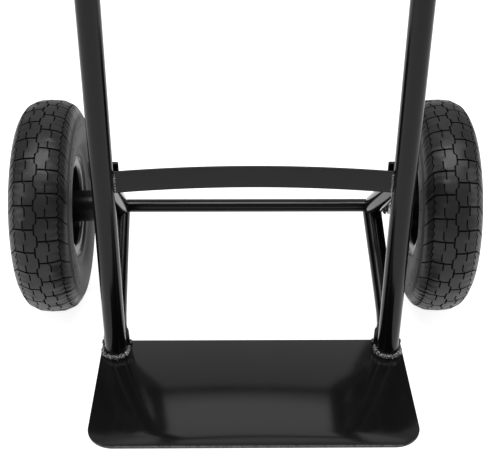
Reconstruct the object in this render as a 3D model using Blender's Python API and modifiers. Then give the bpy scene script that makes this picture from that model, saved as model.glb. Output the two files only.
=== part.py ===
"""Hand truck with two pneumatic wheels, built as an assembly of separate parts.

Metres, +Z up. X runs along the axle and +Y to the rear, where the wheels and handles are.
The origin is on the floor, half way between the wheels. The axle is welded a little off the
frame's middle and the wheels have slid a little on it, so the frame's middle is at FRAME_X.
"""

import math

import bmesh
import bpy
from mathutils import Matrix, Vector

# ---------------------------------------------------------------- driving dimensions
GAP = 0.0003                 # left between two pieces that touch
TOLERANCE = 0.0001           # far below the smallest feature

TYRE_RADIUS = 0.130
TYRE_HALF_WIDTH = 0.0353
TYRE_TREAD = 0.0085          # rubber under the tread
TYRE_SIDEWALL = 0.0045
TYRE_SQUARENESS = 3.3        # exponent of the section's superellipse
BEAD_WIDTH = 0.0075          # tyre's foot on the rim
TUBE_RUBBER = 0.0016         # wall of the inner tube
TUBE_SLACK = 0.0015          # room between the inner tube and the tyre's crown
RIM_RADIUS = 0.0505          # where the tyre's beads sit
FLANGE_HEIGHT = 0.0113       # rim's lip above the bead seat
RIM_HALF_WIDTH = 0.0248      # centre plane to the inside of a flange
SHEET = 0.0020               # steel of the rim halves
VALVE_RADIUS = 0.0022
STEM_TOP = 0.0005            # stem inside the inner tube, above the rim's lip
VALVE_ROOM = 0.0008          # round the valve in the rim and in the inner tube
CAP_WALL = 0.0014            # valve cap
CAP_LENGTH = 0.006           # how far it goes down the valve

HUB_INBOARD = 0.05275        # wheel's centre plane to the hub's inboard end
HUB_OUTBOARD = 0.0105
HUB_FLANGE = 0.0030          # plate on the hub between the rim halves
HUB_WALL = 0.00145           # round the bearings
BEARING_DEPTH = 0.0095       # axle's surface to the bearing's outside
BEARING_WIDTH = 0.011
BEARING_RING = 0.0022        # thickness of a bearing's rings
BEARING_SHOULDER = 0.0012    # hub's step that a bearing stops at
BALLS = 7
CAGE = 0.0006                # half the thickness of a bearing's cage
SEAL = 0.0010
BOLTS = 4
BOLT_CIRCLE = 0.032
BOLT_RADIUS = 0.0040
BOLT_CLEARANCE = 0.0006
BOLT_TAIL = 0.0015           # bolt's end beyond its nut
HEX_RADIUS = 0.0074
HEAD_HEIGHT = 0.0050
NUT_HEIGHT = 0.0060          # weld nuts on the inner rim half

AXLE_RADIUS = 0.008
AXLE_BEHIND_TUBES = 0.1275
SPACER_WIDTH = 0.00525
SPACER_WALL = 0.0030
END_PLAY = 0.0044            # how far a wheel can slide on the axle
AXLE_OFFSET = 0.0052         # the axle is welded this far towards -X of the frame's middle
WASHER_RIM = 0.007           # axle's surface to the washer's outside
WASHER_WIDTH = 0.0020
AXLE_OVERHANG = 0.0075       # beyond the outboard washer
PIN_RADIUS = 0.0016
PIN_EYE = 0.0035
PIN_TAIL = 0.007             # pin's legs below the axle

SIDE_TUBE_RADIUS = 0.0125
SIDE_TUBE_WALL = 0.0016
SIDE_TUBE_X = 0.162          # frame's middle plane to each tube's centre
STRAIGHT_HEIGHT = 0.985      # where the handles start to bend back
HANDLE_BEND = 0.090
HANDLE_ANGLE = math.radians(70)
HANDLE_LENGTH = 0.120
GRIP_WALL = 0.0042
GRIP_LENGTH = 0.118
GRIP_COLLAR = 0.0030         # collar above the grip's surface
COLLAR_WIDTH = 0.006
GRIP_CAP = 0.004             # plastic over the tube's end
GUARD_RADIUS = 0.0055
GUARD_GAP = 0.030            # room for the fingers
GUARD_INSET = 0.008          # from each end of the grip to the guard's centre line
GUARD_CORNER = 0.020

PLATE_MARGIN = 0.0053        # plate beyond each side tube
PLATE_FRONT = 0.159          # side tubes' centre to the front edge
PLATE_BEHIND_FOOT = 0.0001   # plate behind the braces' feet
PLATE_THICKNESS = 0.003
PLATE_CORNER = 0.030

BAR_HEIGHT = 0.0257
BAR_THICKNESS = 0.003
BAR_BOW = 0.012
LOWER_BAR = 0.234            # height of its middle
UPPER_BAR_BELOW_BEND = 0.151

BRACE_EAR = 0.0036           # brace's metal beside the axle's hole
BRACE_WALL = 0.0015
BRACE_AXLE_INSET = 0.0050    # side tube's centre inwards to the brace's, at the axle
BRACE_FOOT_OUTSET = 0.0008
BRACE_TOP_Z = 0.249
BRACE_TOP_FLAT = 0.006       # thickness of the pressed upper end
BRACE_FOOT_FLAT = 0.009
BRACE_REACH = 0.036          # behind the tubes' centre, where a brace is round again
BRACE_KINK = 0.011           # beyond the axle
BRACE_BEND = 0.015           # each side of the kink, where the tube is straight
WELD = 0.0042                # width of a weld bead
WELD_SWEEP = math.radians(230)   # how far a bead goes round a tube's foot

WHEEL_STEPS = 20             # facets round the tyre, inner tube and rim
AXLE_STEPS = 16              # facets round the axle and all that turns or sits on it
SMALL_STEPS = 8              # facets of bolt holes, pin hole, valve hole and cap
BRACE_STEPS = 12
BAR_STEPS = 16

# ---------------------------------------------------------------- worked out from them
SIDES = {"left": -1, "right": 1}
AXLE_X = END_PLAY / 2
FRAME_X = AXLE_X + AXLE_OFFSET
PLAY = {"left": END_PLAY, "right": 0.0}   # how far each wheel has slid outboard

FLANGE_RADIUS = RIM_RADIUS + FLANGE_HEIGHT
SECTION_MIDDLE = (TYRE_RADIUS + FLANGE_RADIUS) / 2
SECTION_DEPTH = (TYRE_RADIUS - FLANGE_RADIUS) / 2
BEAD_TOE = RIM_HALF_WIDTH - GAP - BEAD_WIDTH
BORE = AXLE_RADIUS + GAP
BEARING_RADIUS = AXLE_RADIUS + BEARING_DEPTH
HUB_RADIUS = BEARING_RADIUS + GAP + HUB_WALL
WEB_FACE = HUB_FLANGE / 2 + GAP + SHEET   # outer face of a rim half's web
BOLT_HOLE = BOLT_RADIUS + BOLT_CLEARANCE
BOLT_TURN = math.pi / WHEEL_STEPS
BOLT_ANGLES = [BOLT_TURN + math.tau * i / BOLTS for i in range(BOLTS)]
BOLT_SPOTS = [(BOLT_CIRCLE * math.cos(a), BOLT_CIRCLE * math.sin(a), 0) for a in BOLT_ANGLES]
BRACE_RADIUS = AXLE_RADIUS + BRACE_EAR
BRACE_AXLE_X = SIDE_TUBE_X - BRACE_AXLE_INSET
BRACE_FOOT_X = SIDE_TUBE_X + BRACE_FOOT_OUTSET
BAR_END = SIDE_TUBE_X - SIDE_TUBE_RADIUS - GAP
PLATE_WIDTH = 2 * (SIDE_TUBE_X + SIDE_TUBE_RADIUS + PLATE_MARGIN)
PLATE_BACK = SIDE_TUBE_RADIUS + GAP + BRACE_FOOT_FLAT + PLATE_BEHIND_FOOT
PLATE_TOP = PLATE_THICKNESS + GAP
UPPER_BAR = STRAIGHT_HEIGHT - UPPER_BAR_BELOW_BEND
BAR_CENTRES = {"lower": LOWER_BAR, "middle": (LOWER_BAR + UPPER_BAR) / 2, "upper": UPPER_BAR}

AXLE_Z = TYRE_RADIUS
TUBE_Y = (PLATE_FRONT - AXLE_BEHIND_TUBES - TYRE_RADIUS) / 2
AXLE_Y = TUBE_Y + AXLE_BEHIND_TUBES
AXLE_WELD_X = BRACE_AXLE_X + BRACE_RADIUS + 2 * GAP
SPACER_X = AXLE_WELD_X + WELD + GAP
NEAR_WHEEL_X = SPACER_X + SPACER_WIDTH + GAP + HUB_INBOARD
WASHER_X = NEAR_WHEEL_X + HUB_OUTBOARD + END_PLAY + GAP
AXLE_END = WASHER_X + WASHER_WIDTH + AXLE_OVERHANG
PIN_X = AXLE_END - AXLE_OVERHANG / 2
ACROSS = Matrix.Rotation(math.pi / 2, 4, "Y")   # lays a part made along Z along X

STEEL = {"colour": (0.012, 0.012, 0.013), "roughness": 0.32, "metallic": 0.0}
WELDED = {"colour": (0.05, 0.05, 0.05), "roughness": 0.40, "metallic": 0.6}
ZINC = {"colour": (0.55, 0.56, 0.58), "roughness": 0.35, "metallic": 1.0}
BRIGHT = {"colour": (0.62, 0.62, 0.63), "roughness": 0.18, "metallic": 1.0}
RUBBER = {"colour": (0.020, 0.020, 0.020), "roughness": 0.62, "metallic": 0.0}
BUTYL = {"colour": (0.012, 0.012, 0.012), "roughness": 0.70, "metallic": 0.0}
PLASTIC = {"colour": (0.015, 0.015, 0.015), "roughness": 0.50, "metallic": 0.0}
BRASS = {"colour": (0.60, 0.45, 0.20), "roughness": 0.30, "metallic": 1.0}


# ---------------------------------------------------------------- helpers
def clear_scene():
    """Takes the default objects away."""
    for obj in list(bpy.data.objects):
        bpy.data.objects.remove(obj, do_unlink=True)


def collection(name):
    """A new collection in the scene."""
    made = bpy.data.collections.new(name)
    bpy.context.scene.collection.children.link(made)
    return made


def paint(obj, finish):
    """Gives the object a material of its own."""
    material = bpy.data.materials.new(obj.name)
    material.use_nodes = True
    shader = material.node_tree.nodes["Principled BSDF"]
    shader.inputs["Base Color"].default_value = (*finish["colour"], 1.0)
    shader.inputs["Roughness"].default_value = finish["roughness"]
    shader.inputs["Metallic"].default_value = finish["metallic"]
    obj.data.materials.clear()
    obj.data.materials.append(material)


def centre_of(name, place):
    """An empty that the sub-parts round one centre hang from."""
    empty = bpy.data.objects.new(name, None)
    PARTS.objects.link(empty)
    empty.matrix_local = place
    return empty


def add(name, mesh, finish, parent, place=Matrix()):
    """Puts a mesh in the truck's collection as a named sub-part."""
    obj = bpy.data.objects.new(name, mesh)
    PARTS.objects.link(obj)
    paint(obj, finish)
    obj.parent = parent
    obj.matrix_local = place
    return obj


def cutter(name, mesh, parent, place=Matrix()):
    """An object that only cuts or joins others."""
    obj = bpy.data.objects.new(name, mesh)
    CUTTERS.objects.link(obj)
    obj.hide_render = True
    obj.display_type = "WIRE"
    obj.parent = parent
    obj.matrix_local = place
    return obj


def boolean(obj, tool, operation="DIFFERENCE"):
    """Cuts the tool out of the object, or joins it on."""
    modifier = obj.modifiers.new(tool.name, "BOOLEAN")
    modifier.operation = operation
    modifier.solver = "EXACT"
    modifier.object = tool


def mesh_from(name, build):
    """A mesh whose faces build(bm) makes, turned outwards and shaded smooth."""
    bm = bmesh.new()
    build(bm)
    bmesh.ops.remove_doubles(bm, verts=bm.verts, dist=TOLERANCE / 10)
    bmesh.ops.recalc_face_normals(bm, faces=bm.faces)
    mesh = bpy.data.meshes.new(name)
    bm.to_mesh(mesh)
    bm.free()
    mesh.shade_smooth()
    mesh.set_sharp_from_angle(angle=math.radians(40))
    return mesh


def turned(name, outline, steps, closed=True):
    """A mesh of (radius, z) points spun once round Z; an open outline starts and ends on the axis."""
    def build(bm):
        verts = [bm.verts.new((radius, 0, z)) for radius, z in outline]
        ends = verts[1:] + verts[:1] if closed else verts[1:]
        edges = [bm.edges.new(pair) for pair in zip(verts, ends)]
        bmesh.ops.spin(bm, geom=verts + edges, cent=(0, 0, 0), axis=(0, 0, 1), angle=math.tau,
                       steps=steps, use_merge=True)
    return mesh_from(name, build)


def ring(name, inner, outer, low, high, steps=AXLE_STEPS):
    """A plain ring from low to high along Z."""
    return turned(name, [(inner, low), (outer, low), (outer, high), (inner, high)], steps)


def rod(bm, radius, low, high, sides, at=(0, 0, 0)):
    """A solid cylinder or prism along Z from low to high."""
    place = Matrix.Translation(at) @ Matrix.Translation((0, 0, (low + high) / 2))
    bmesh.ops.create_cone(bm, cap_ends=True, segments=sides, radius1=radius, radius2=radius,
                          depth=high - low, matrix=place)


def rods(name, radius, low, high, sides, spots=((0, 0, 0),)):
    """Equal cylinders along Z, one at each spot."""
    def build(bm):
        for spot in spots:
            rod(bm, radius, low, high, sides, spot)
    return mesh_from(name, build)


def wire(name, path, radius, resolution, closed_ends=True):
    """A round rod or an open tube surface along the path, as a mesh."""
    curve = bpy.data.curves.new(name, "CURVE")
    curve.dimensions = "3D"
    curve.bevel_depth = radius
    curve.bevel_resolution = resolution
    curve.use_fill_caps = closed_ends
    spline = curve.splines.new("POLY")
    spline.points.add(len(path) - 1)
    for point, spot in zip(spline.points, path):
        point.co = (*spot, 1.0)
    guide = bpy.data.objects.new(name + "_path", curve)
    bpy.context.scene.collection.objects.link(guide)
    bpy.context.view_layer.update()
    shape = guide.evaluated_get(bpy.context.evaluated_depsgraph_get())
    mesh = bpy.data.meshes.new_from_object(shape)
    bpy.data.objects.remove(guide, do_unlink=True)
    bm = bmesh.new()
    bm.from_mesh(mesh)
    bmesh.ops.remove_doubles(bm, verts=bm.verts, dist=TOLERANCE / 10)
    bm.to_mesh(mesh)
    bm.free()
    mesh.name = name
    mesh.materials.clear()
    mesh.shade_smooth()
    return mesh


def hollow(obj, wall):
    """Gives an open tube surface its wall, inwards."""
    modifier = obj.modifiers.new("wall", "SOLIDIFY")
    modifier.thickness = wall
    modifier.offset = -1.0
    modifier.use_even_offset = True
    modifier.use_rim = True


def arc_points(centre, start, sweep, radius, count):
    """Points of an arc in the YZ plane, as (y, z) pairs."""
    points = []
    for i in range(count + 1):
        angle = start + sweep * i / count
        points.append((centre[0] + radius * math.cos(angle), centre[1] + radius * math.sin(angle)))
    return points


# ---------------------------------------------------------------- toe plate
def toe_plate():
    """A flat sheet with rounded front corners."""
    def build(bm):
        depth = PLATE_FRONT + PLATE_BACK
        centre = Vector((0, TUBE_Y + (PLATE_BACK - PLATE_FRONT) / 2, PLATE_THICKNESS / 2))
        bmesh.ops.create_cube(bm, size=1.0)
        bmesh.ops.scale(bm, vec=(PLATE_WIDTH, depth, PLATE_THICKNESS), verts=bm.verts)
        bmesh.ops.translate(bm, vec=centre, verts=bm.verts)
        front = [e for e in bm.edges
                 if abs(e.verts[0].co.z - e.verts[1].co.z) > PLATE_THICKNESS / 2
                 and e.verts[0].co.y < centre.y]
        bmesh.ops.bevel(bm, geom=front, offset=PLATE_CORNER, offset_type="OFFSET", segments=8,
                        profile=0.5, affect="EDGES")
    add("toe_plate", mesh_from("toe_plate", build), STEEL, FRAME)


# ---------------------------------------------------------------- side tubes and handles
def handle_path():
    """The side tube's centre line as (y, z), from its foot to its rear end."""
    centre = (TUBE_Y + HANDLE_BEND, STRAIGHT_HEIGHT)
    path = [(TUBE_Y, PLATE_TOP)]
    path += arc_points(centre, math.pi, -HANDLE_ANGLE, HANDLE_BEND, 7)
    y, z = path[-1]
    path.append((y + HANDLE_LENGTH * math.sin(HANDLE_ANGLE), z + HANDLE_LENGTH * math.cos(HANDLE_ANGLE)))
    return path


def side_tube(side):
    """Straight up from the plate, then bent back into a handle."""
    x = SIDES[side] * SIDE_TUBE_X
    path = [(x, y, z) for y, z in handle_path()]
    name = side + "_side_tube"
    tube = add(name, wire(name, path, SIDE_TUBE_RADIUS, 5, closed_ends=False), STEEL, FRAME)
    hollow(tube, SIDE_TUBE_WALL)


def grip_outline():
    """Section of the grip's sleeve: a blind bore, a collar at its mouth and a rounded cap."""
    bore = SIDE_TUBE_RADIUS + GAP
    radius = bore + GRIP_WALL
    collar = radius + GRIP_COLLAR
    mouth = -GRIP_LENGTH
    return [(0, GAP), (bore, GAP), (bore, mouth), (collar, mouth), (collar, mouth + COLLAR_WIDTH),
            (radius, mouth + COLLAR_WIDTH + GRIP_COLLAR), (radius, GRIP_CAP * 0.25),
            (radius - GRIP_CAP, GRIP_CAP), (0, GRIP_CAP)]


def guard_path():
    """Centre line of a knuckle guard as (outboard, along the handle)."""
    surface = SIDE_TUBE_RADIUS + GAP + GRIP_WALL
    inside = surface - GRIP_WALL / 2
    reach = surface + GUARD_GAP + GUARD_RADIUS
    low, high = GUARD_INSET - GRIP_LENGTH, -GUARD_INSET
    turn = reach - GUARD_CORNER
    path = [(inside, low), (turn, low)]
    path += arc_points((turn, low + GUARD_CORNER), -math.pi / 2, math.pi / 2, GUARD_CORNER, 3)[1:]
    path += arc_points((turn, high - GUARD_CORNER), 0, math.pi / 2, GUARD_CORNER, 3)
    return path + [(inside, high)]


def grip(side):
    """A moulded grip: a sleeve with a closed end and a collar, and a guard bowed outboard."""
    sign = SIDES[side]
    name = side + "_grip"
    end_y, end_z = handle_path()[-1]
    turn = Matrix.Rotation(-HANDLE_ANGLE, 4, "X")
    place = Matrix.Translation((sign * SIDE_TUBE_X, end_y, end_z)) @ turn
    sleeve = turned(name, grip_outline(), AXLE_STEPS, closed=False)
    body = add(name, sleeve, PLASTIC, FRAME, place)
    line = [(sign * outboard, 0, along) for outboard, along in guard_path()]
    bow = cutter(name + "_guard", wire(name + "_guard", line, GUARD_RADIUS, 2), FRAME, place)
    boolean(body, bow, "UNION")


# ---------------------------------------------------------------- crossbars
def crossbar(name, height):
    """A flat bar between the side tubes, bowed to the rear."""
    def build(bm):
        top = []
        for i in range(BAR_STEPS + 1):
            share = 2 * i / BAR_STEPS - 1
            top.append(bm.verts.new((share * BAR_END, TUBE_Y + BAR_BOW * (1 - share ** 2),
                                     height + BAR_HEIGHT / 2)))
        edges = [bm.edges.new(pair) for pair in zip(top, top[1:])]
        made = bmesh.ops.extrude_edge_only(bm, edges=edges)["geom"]
        low = [v for v in made if isinstance(v, bmesh.types.BMVert)]
        bmesh.ops.translate(bm, vec=(0, 0, -BAR_HEIGHT), verts=low)
    bar = add(name + "_crossbar", mesh_from(name + "_crossbar", build), STEEL, FRAME)
    modifier = bar.modifiers.new("thickness", "SOLIDIFY")
    modifier.thickness = BAR_THICKNESS
    modifier.offset = 0.0


# ---------------------------------------------------------------- axle and its braces
def pressed(flat):
    """Width of a brace's tube where it is pressed to the thickness flat."""
    girth = math.pi * 2 * BRACE_RADIUS
    return (girth - math.pi * flat) / 2 + flat


def brace_sections(sign):
    """Centre (x, y, z), width and thickness of the tube at each station, from top to foot."""
    tube_x = sign * SIDE_TUBE_X
    axle_x = sign * BRACE_AXLE_X - AXLE_OFFSET
    foot_x = sign * BRACE_FOOT_X
    back = SIDE_TUBE_RADIUS + GAP
    full = 2 * BRACE_RADIUS
    top_y = back + BRACE_TOP_FLAT / 2
    foot_y = back + BRACE_FOOT_FLAT / 2
    start = Vector((BRACE_REACH, BRACE_TOP_Z - 0.037))
    hole = Vector((AXLE_BEHIND_TUBES, AXLE_Z))
    down = (hole - start).normalized()
    kink = hole + BRACE_KINK * down
    landing = Vector((BRACE_REACH, PLATE_TOP + 0.028))
    forward = (landing - kink).normalized()
    inner = (forward - down).normalized()
    top_half = (BRACE_TOP_FLAT + full) / 2
    foot_half = (BRACE_FOOT_FLAT + full) / 2
    stations = [
        (tube_x, Vector((top_y, BRACE_TOP_Z)), BRACE_TOP_FLAT),
        (tube_x, Vector((top_y, BRACE_TOP_Z - 0.015)), BRACE_TOP_FLAT),
        (tube_x, Vector((top_y + 0.0055, BRACE_TOP_Z - 0.0235)), top_half * 0.80),
        (tube_x, start, full),
        (axle_x, hole - 0.019 * down, full),
        (axle_x, kink - BRACE_BEND * down, full),
        (axle_x, kink + 0.004 * inner, full * 0.94),
        (axle_x, kink + BRACE_BEND * forward, full),
        (foot_x, landing, full),
        (foot_x, Vector((foot_y + 0.0055, PLATE_TOP + 0.0145)), foot_half * 0.92),
        (foot_x, Vector((foot_y, PLATE_TOP + 0.008)), BRACE_FOOT_FLAT),
        (foot_x, Vector((foot_y, PLATE_TOP)), BRACE_FOOT_FLAT),
    ]
    return [(Vector((x, TUBE_Y + c.x, c.y)), pressed(flat), flat) for x, c, flat in stations]


def brace_ring(bm, centre, along, width, flat):
    """One station's ring of vertices: a round, spread sideways as far as it is pressed."""
    across = Vector((1, 0, 0))
    through = along.normalized().cross(across).normalized()
    loop = []
    for k in range(BRACE_STEPS):
        angle = math.tau * k / BRACE_STEPS
        spread = max(-1.0, min(1.0, 2 * math.cos(angle)))
        x = (width - flat) / 2 * spread + flat / 2 * math.cos(angle)
        y = flat / 2 * math.sin(angle)
        loop.append(bm.verts.new(centre + across * x + through * y))
    return loop


def axle_brace(side):
    """Round tube bent into a V behind the side tube, pressed flat at both ends and drilled."""
    sign = SIDES[side]
    name = side + "_axle_brace"
    sections = brace_sections(sign)
    last = len(sections) - 1
    upright = (0, 1, last - 1, last)   # the pressed ends stand straight

    def build(bm):
        rings = []
        for i, (centre, width, flat) in enumerate(sections):
            along = sections[min(i + 1, last)][0] - sections[max(i - 1, 0)][0]
            if i in upright:
                along = Vector((0, 0, -1))
            rings.append(brace_ring(bm, centre, along, width, flat))
        for a, b in zip(rings, rings[1:]):
            for k in range(BRACE_STEPS):
                bm.faces.new((a[k], a[k - 1], b[k - 1], b[k]))
    brace = add(name, mesh_from(name, build), STEEL, FRAME)
    hollow(brace, BRACE_WALL)
    reach = 3 * BRACE_RADIUS
    place = Matrix.Translation((sign * BRACE_AXLE_X, AXLE_Y, AXLE_Z)) @ ACROSS
    drill = rods(name + "_drill", BORE, -reach, reach, AXLE_STEPS)
    boolean(brace, cutter(name + "_drill", drill, AXLE_LINE, place))


def axle():
    """A plain bar, drilled across for a split pin at each end."""
    place = Matrix.Translation((0, AXLE_Y, AXLE_Z)) @ ACROSS
    mesh = rods("axle", AXLE_RADIUS, -AXLE_END, AXLE_END, AXLE_STEPS)
    bar = add("axle", mesh, STEEL, AXLE_LINE, place)
    reach = 2 * AXLE_RADIUS
    spots = [(sign * PIN_X, AXLE_Y, AXLE_Z) for sign in SIDES.values()]
    drill = rods("axle_drill", PIN_RADIUS + GAP, -reach, reach, SMALL_STEPS, spots)
    boolean(bar, cutter("axle_drill", drill, AXLE_LINE))


def split_pin(side):
    """A split pin through the axle's end: an eye above, the two legs as one round below."""
    x = SIDES[side] * PIN_X
    top = AXLE_Z + AXLE_RADIUS + PIN_RADIUS + GAP
    path = [(AXLE_Y, AXLE_Z - AXLE_RADIUS - PIN_TAIL), (AXLE_Y, top)]
    path += [(AXLE_Y - PIN_EYE * math.sin(a), top + 0.001 + PIN_EYE * (1 - math.cos(a)))
             for a in (math.radians(d) for d in (60, 120, 180, 240, 290))]
    name = side + "_split_pin"
    add(name, wire(name, [(x, y, z) for y, z in path], PIN_RADIUS, 1), ZINC, AXLE_LINE)


def spacer_and_washer(side):
    """The rings on the axle that a wheel slides between."""
    place = Matrix.Translation((0, AXLE_Y, AXLE_Z)) @ Matrix.Rotation(SIDES[side] * math.pi / 2, 4, "Y")
    spacer = ring(side + "_spacer", BORE, BORE + SPACER_WALL, SPACER_X, SPACER_X + SPACER_WIDTH)
    add(side + "_spacer", spacer, ZINC, AXLE_LINE, place)
    washer = ring(side + "_washer", BORE, AXLE_RADIUS + WASHER_RIM, WASHER_X, WASHER_X + WASHER_WIDTH)
    add(side + "_washer", washer, ZINC, AXLE_LINE, place)


# ---------------------------------------------------------------- weld beads
def tube_weld(side):
    """A bead round the front and sides of a side tube's foot."""
    inner = SIDE_TUBE_RADIUS + GAP
    outline = [(inner, 0), (inner + WELD + 0.001, 0), (inner + WELD, WELD * 0.6),
               (inner + WELD * 0.5, WELD), (inner, WELD + 0.0015)]

    def build(bm):
        verts = [bm.verts.new((r, 0, z)) for r, z in outline]
        edges = [bm.edges.new(pair) for pair in zip(verts, verts[1:] + verts[:1])]
        made = bmesh.ops.spin(bm, geom=verts + edges, cent=(0, 0, 0), axis=(0, 0, 1),
                              angle=WELD_SWEEP, steps=14)["geom_last"]
        bm.faces.new(verts)
        bm.faces.new([v for v in made if isinstance(v, bmesh.types.BMVert)])
    name = side + "_tube_weld"
    turn = Matrix.Rotation(math.radians(-90) - WELD_SWEEP / 2, 4, "Z")
    place = Matrix.Translation((SIDES[side] * SIDE_TUBE_X, TUBE_Y, PLATE_TOP)) @ turn
    add(name, mesh_from(name, build), WELDED, FRAME, place)


def axle_weld(side):
    """A bead ring on the axle against the brace's outboard side."""
    outline = [(BORE, 0), (BORE + WELD * 0.8, 0), (BORE + WELD * 0.6, WELD * 0.7), (BORE, WELD)]
    sign = SIDES[side]
    name = side + "_axle_weld"
    turn = Matrix.Rotation(sign * math.pi / 2, 4, "Y")
    place = Matrix.Translation((sign * AXLE_WELD_X, AXLE_Y, AXLE_Z)) @ turn
    add(name, turned(name, outline, AXLE_STEPS), WELDED, AXLE_LINE, place)


# ---------------------------------------------------------------- tyre and inner tube
def superellipse(degrees, half_width, half_depth):
    """A point (radius, z) of a boxy ring section; 90 degrees is the crown."""
    power = 2 / TYRE_SQUARENESS
    c, s = math.cos(math.radians(degrees)), math.sin(math.radians(degrees))
    return (SECTION_MIDDLE + half_depth * math.copysign(abs(s) ** power, s),
            half_width * math.copysign(abs(c) ** power, c))


def mirrored(points):
    """The same (radius, z) points on the other side of the centre plane, in reverse."""
    return [(r, -z) for r, z in reversed(points)]


def tyre_outline():
    """Section of the tyre as (radius, z): outside from bead to bead, then back along the cavity."""
    seat = RIM_RADIUS + GAP
    wall = RIM_HALF_WIDTH - GAP
    outside = [(seat, wall - 0.0015), (seat + 0.0015, wall), (FLANGE_RADIUS - 0.0022, wall),
               (FLANGE_RADIUS + 0.0006, RIM_HALF_WIDTH + 0.0028),
               (FLANGE_RADIUS + 0.0026, RIM_HALF_WIDTH + 0.0044)]
    outside += [superellipse(d, TYRE_HALF_WIDTH, SECTION_DEPTH) for d in (-36, 0, 35, 60)]
    outside.append((TYRE_RADIUS, TYRE_HALF_WIDTH * 0.30))
    inside = [superellipse(d, TYRE_HALF_WIDTH - TYRE_SIDEWALL, SECTION_DEPTH - TYRE_TREAD)
              for d in (74, 44, 5, -33)]
    inside += [(FLANGE_RADIUS + 0.0012, BEAD_TOE), (seat, BEAD_TOE)]
    return outside + mirrored(outside) + mirrored(inside) + inside


def inner_tube_outline(shrink):
    """Section of the inner tube, or of the air inside it when shrink is its wall."""
    centre = SECTION_MIDDLE - 0.001
    depth = SECTION_DEPTH - TYRE_TREAD - TUBE_SLACK - shrink
    width = TYRE_HALF_WIDTH - TYRE_SIDEWALL - 0.0025 - shrink
    neck = BEAD_TOE - 0.0006 - shrink
    foot = RIM_RADIUS + 2 * GAP + shrink
    half = [(foot, neck - 0.001), (FLANGE_RADIUS + 0.002 + shrink, neck)]
    half += [(centre + depth * math.sin(a), width * math.cos(a) ** 0.7)
             for a in (math.radians(d) for d in (-25, 12, 48, 74))]
    return half + mirrored(half)


def inner_tube(side, hinge, valve_hole):
    """A ring of rubber with air inside it and a hole for its valve."""
    name = side + "_inner_tube"
    tube = add(name, turned(name, inner_tube_outline(0), WHEEL_STEPS), BUTYL, hinge)
    air = turned(name + "_air", inner_tube_outline(TUBE_RUBBER), WHEEL_STEPS)
    boolean(tube, cutter(name + "_air", air, hinge))
    boolean(tube, valve_hole)


# ---------------------------------------------------------------- rim, bolts and hub
def rim_path():
    """Face of a rim half towards the tyre, as (radius, z), from the hub to the lip."""
    web = HUB_FLANGE / 2 + GAP
    return [(HUB_RADIUS + GAP, web), (RIM_RADIUS - 0.0075, web), (RIM_RADIUS - 0.0030, web + 0.0015),
            (RIM_RADIUS, web + 0.0055), (RIM_RADIUS, RIM_HALF_WIDTH - 0.0015),
            (RIM_RADIUS + 0.0015, RIM_HALF_WIDTH), (FLANGE_RADIUS - 0.0025, RIM_HALF_WIDTH),
            (FLANGE_RADIUS, RIM_HALF_WIDTH + 0.0030)]


def rim_half(name, face, hinge, joined, drills):
    """Pressed sheet: spun as a surface, thickened away from the tyre, then joined and drilled."""
    mesh = turned(name, [(r, face * z) for r, z in rim_path()], WHEEL_STEPS, closed=False)
    web = min(mesh.polygons, key=lambda p: (round(abs(p.center.z), 5), p.center.length))
    if web.normal.z * face > 0:
        mesh.flip_normals()
    half = add(name, mesh, STEEL, hinge)
    hollow(half, SHEET)
    for piece in joined:
        boolean(half, piece, "UNION")
    for drill in drills:
        boolean(half, drill)


def rim_bolt(name, spot, hinge):
    """A hexagon head with its shank, from the outer web through the weld nut."""
    head = WEB_FACE + GAP
    shank = 2 * head + NUT_HEIGHT + BOLT_TAIL

    def build(bm):
        rod(bm, HEX_RADIUS, 0, HEAD_HEIGHT, 6)
        under = min(bm.faces, key=lambda f: f.calc_center_median().z)
        step = (HEX_RADIUS - BOLT_RADIUS) * math.cos(math.pi / 6)
        bmesh.ops.inset_individual(bm, faces=[under], thickness=step, use_even_offset=True)
        tip = bmesh.ops.extrude_discrete_faces(bm, faces=[under])["faces"][0]
        bmesh.ops.translate(bm, vec=(0, 0, -shank), verts=tip.verts)
    place = Matrix.Translation(spot) @ Matrix.Translation((0, 0, head))
    add(name, mesh_from(name, build), ZINC, hinge, place)


def hub_outline():
    """Section of the hub: a tube with a bearing seat at each end and the plate for the rim."""
    seat = BEARING_RADIUS + GAP
    bore = BEARING_RADIUS - BEARING_SHOULDER
    pocket = BEARING_WIDTH + GAP
    low, high = -HUB_INBOARD, HUB_OUTBOARD
    plate = RIM_RADIUS - 0.006
    half = HUB_FLANGE / 2
    return [(seat, low), (HUB_RADIUS, low), (HUB_RADIUS, -half), (plate, -half), (plate, half),
            (HUB_RADIUS, half), (HUB_RADIUS, high), (seat, high), (seat, high - pocket),
            (bore, high - pocket), (bore, low + pocket), (seat, low + pocket)]


def rim_and_hub(side, hinge, valve_hole):
    """Both rim halves with the hub's plate between them, and the bolts through all three."""
    prefix = side + "_"
    reach = 2 * WEB_FACE + NUT_HEIGHT
    drill = cutter(prefix + "bolt_holes", rods(prefix + "bolt_holes", BOLT_HOLE, -reach, reach,
                                               SMALL_STEPS, BOLT_SPOTS), hinge)
    nuts = cutter(prefix + "weld_nuts", rods(prefix + "weld_nuts", HEX_RADIUS, -WEB_FACE - NUT_HEIGHT,
                                             SHEET / 2 - WEB_FACE, 6, BOLT_SPOTS), hinge)
    rim_half(prefix + "rim_outer_half", 1, hinge, [], [drill, valve_hole])
    rim_half(prefix + "rim_inner_half", -1, hinge, [nuts], [drill])
    hub = add(prefix + "hub", turned(prefix + "hub", hub_outline(), AXLE_STEPS), STEEL, hinge)
    boolean(hub, drill)
    for i, spot in enumerate(BOLT_SPOTS):
        rim_bolt(prefix + "rim_bolt_" + str(i + 1), spot, hinge)


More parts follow.
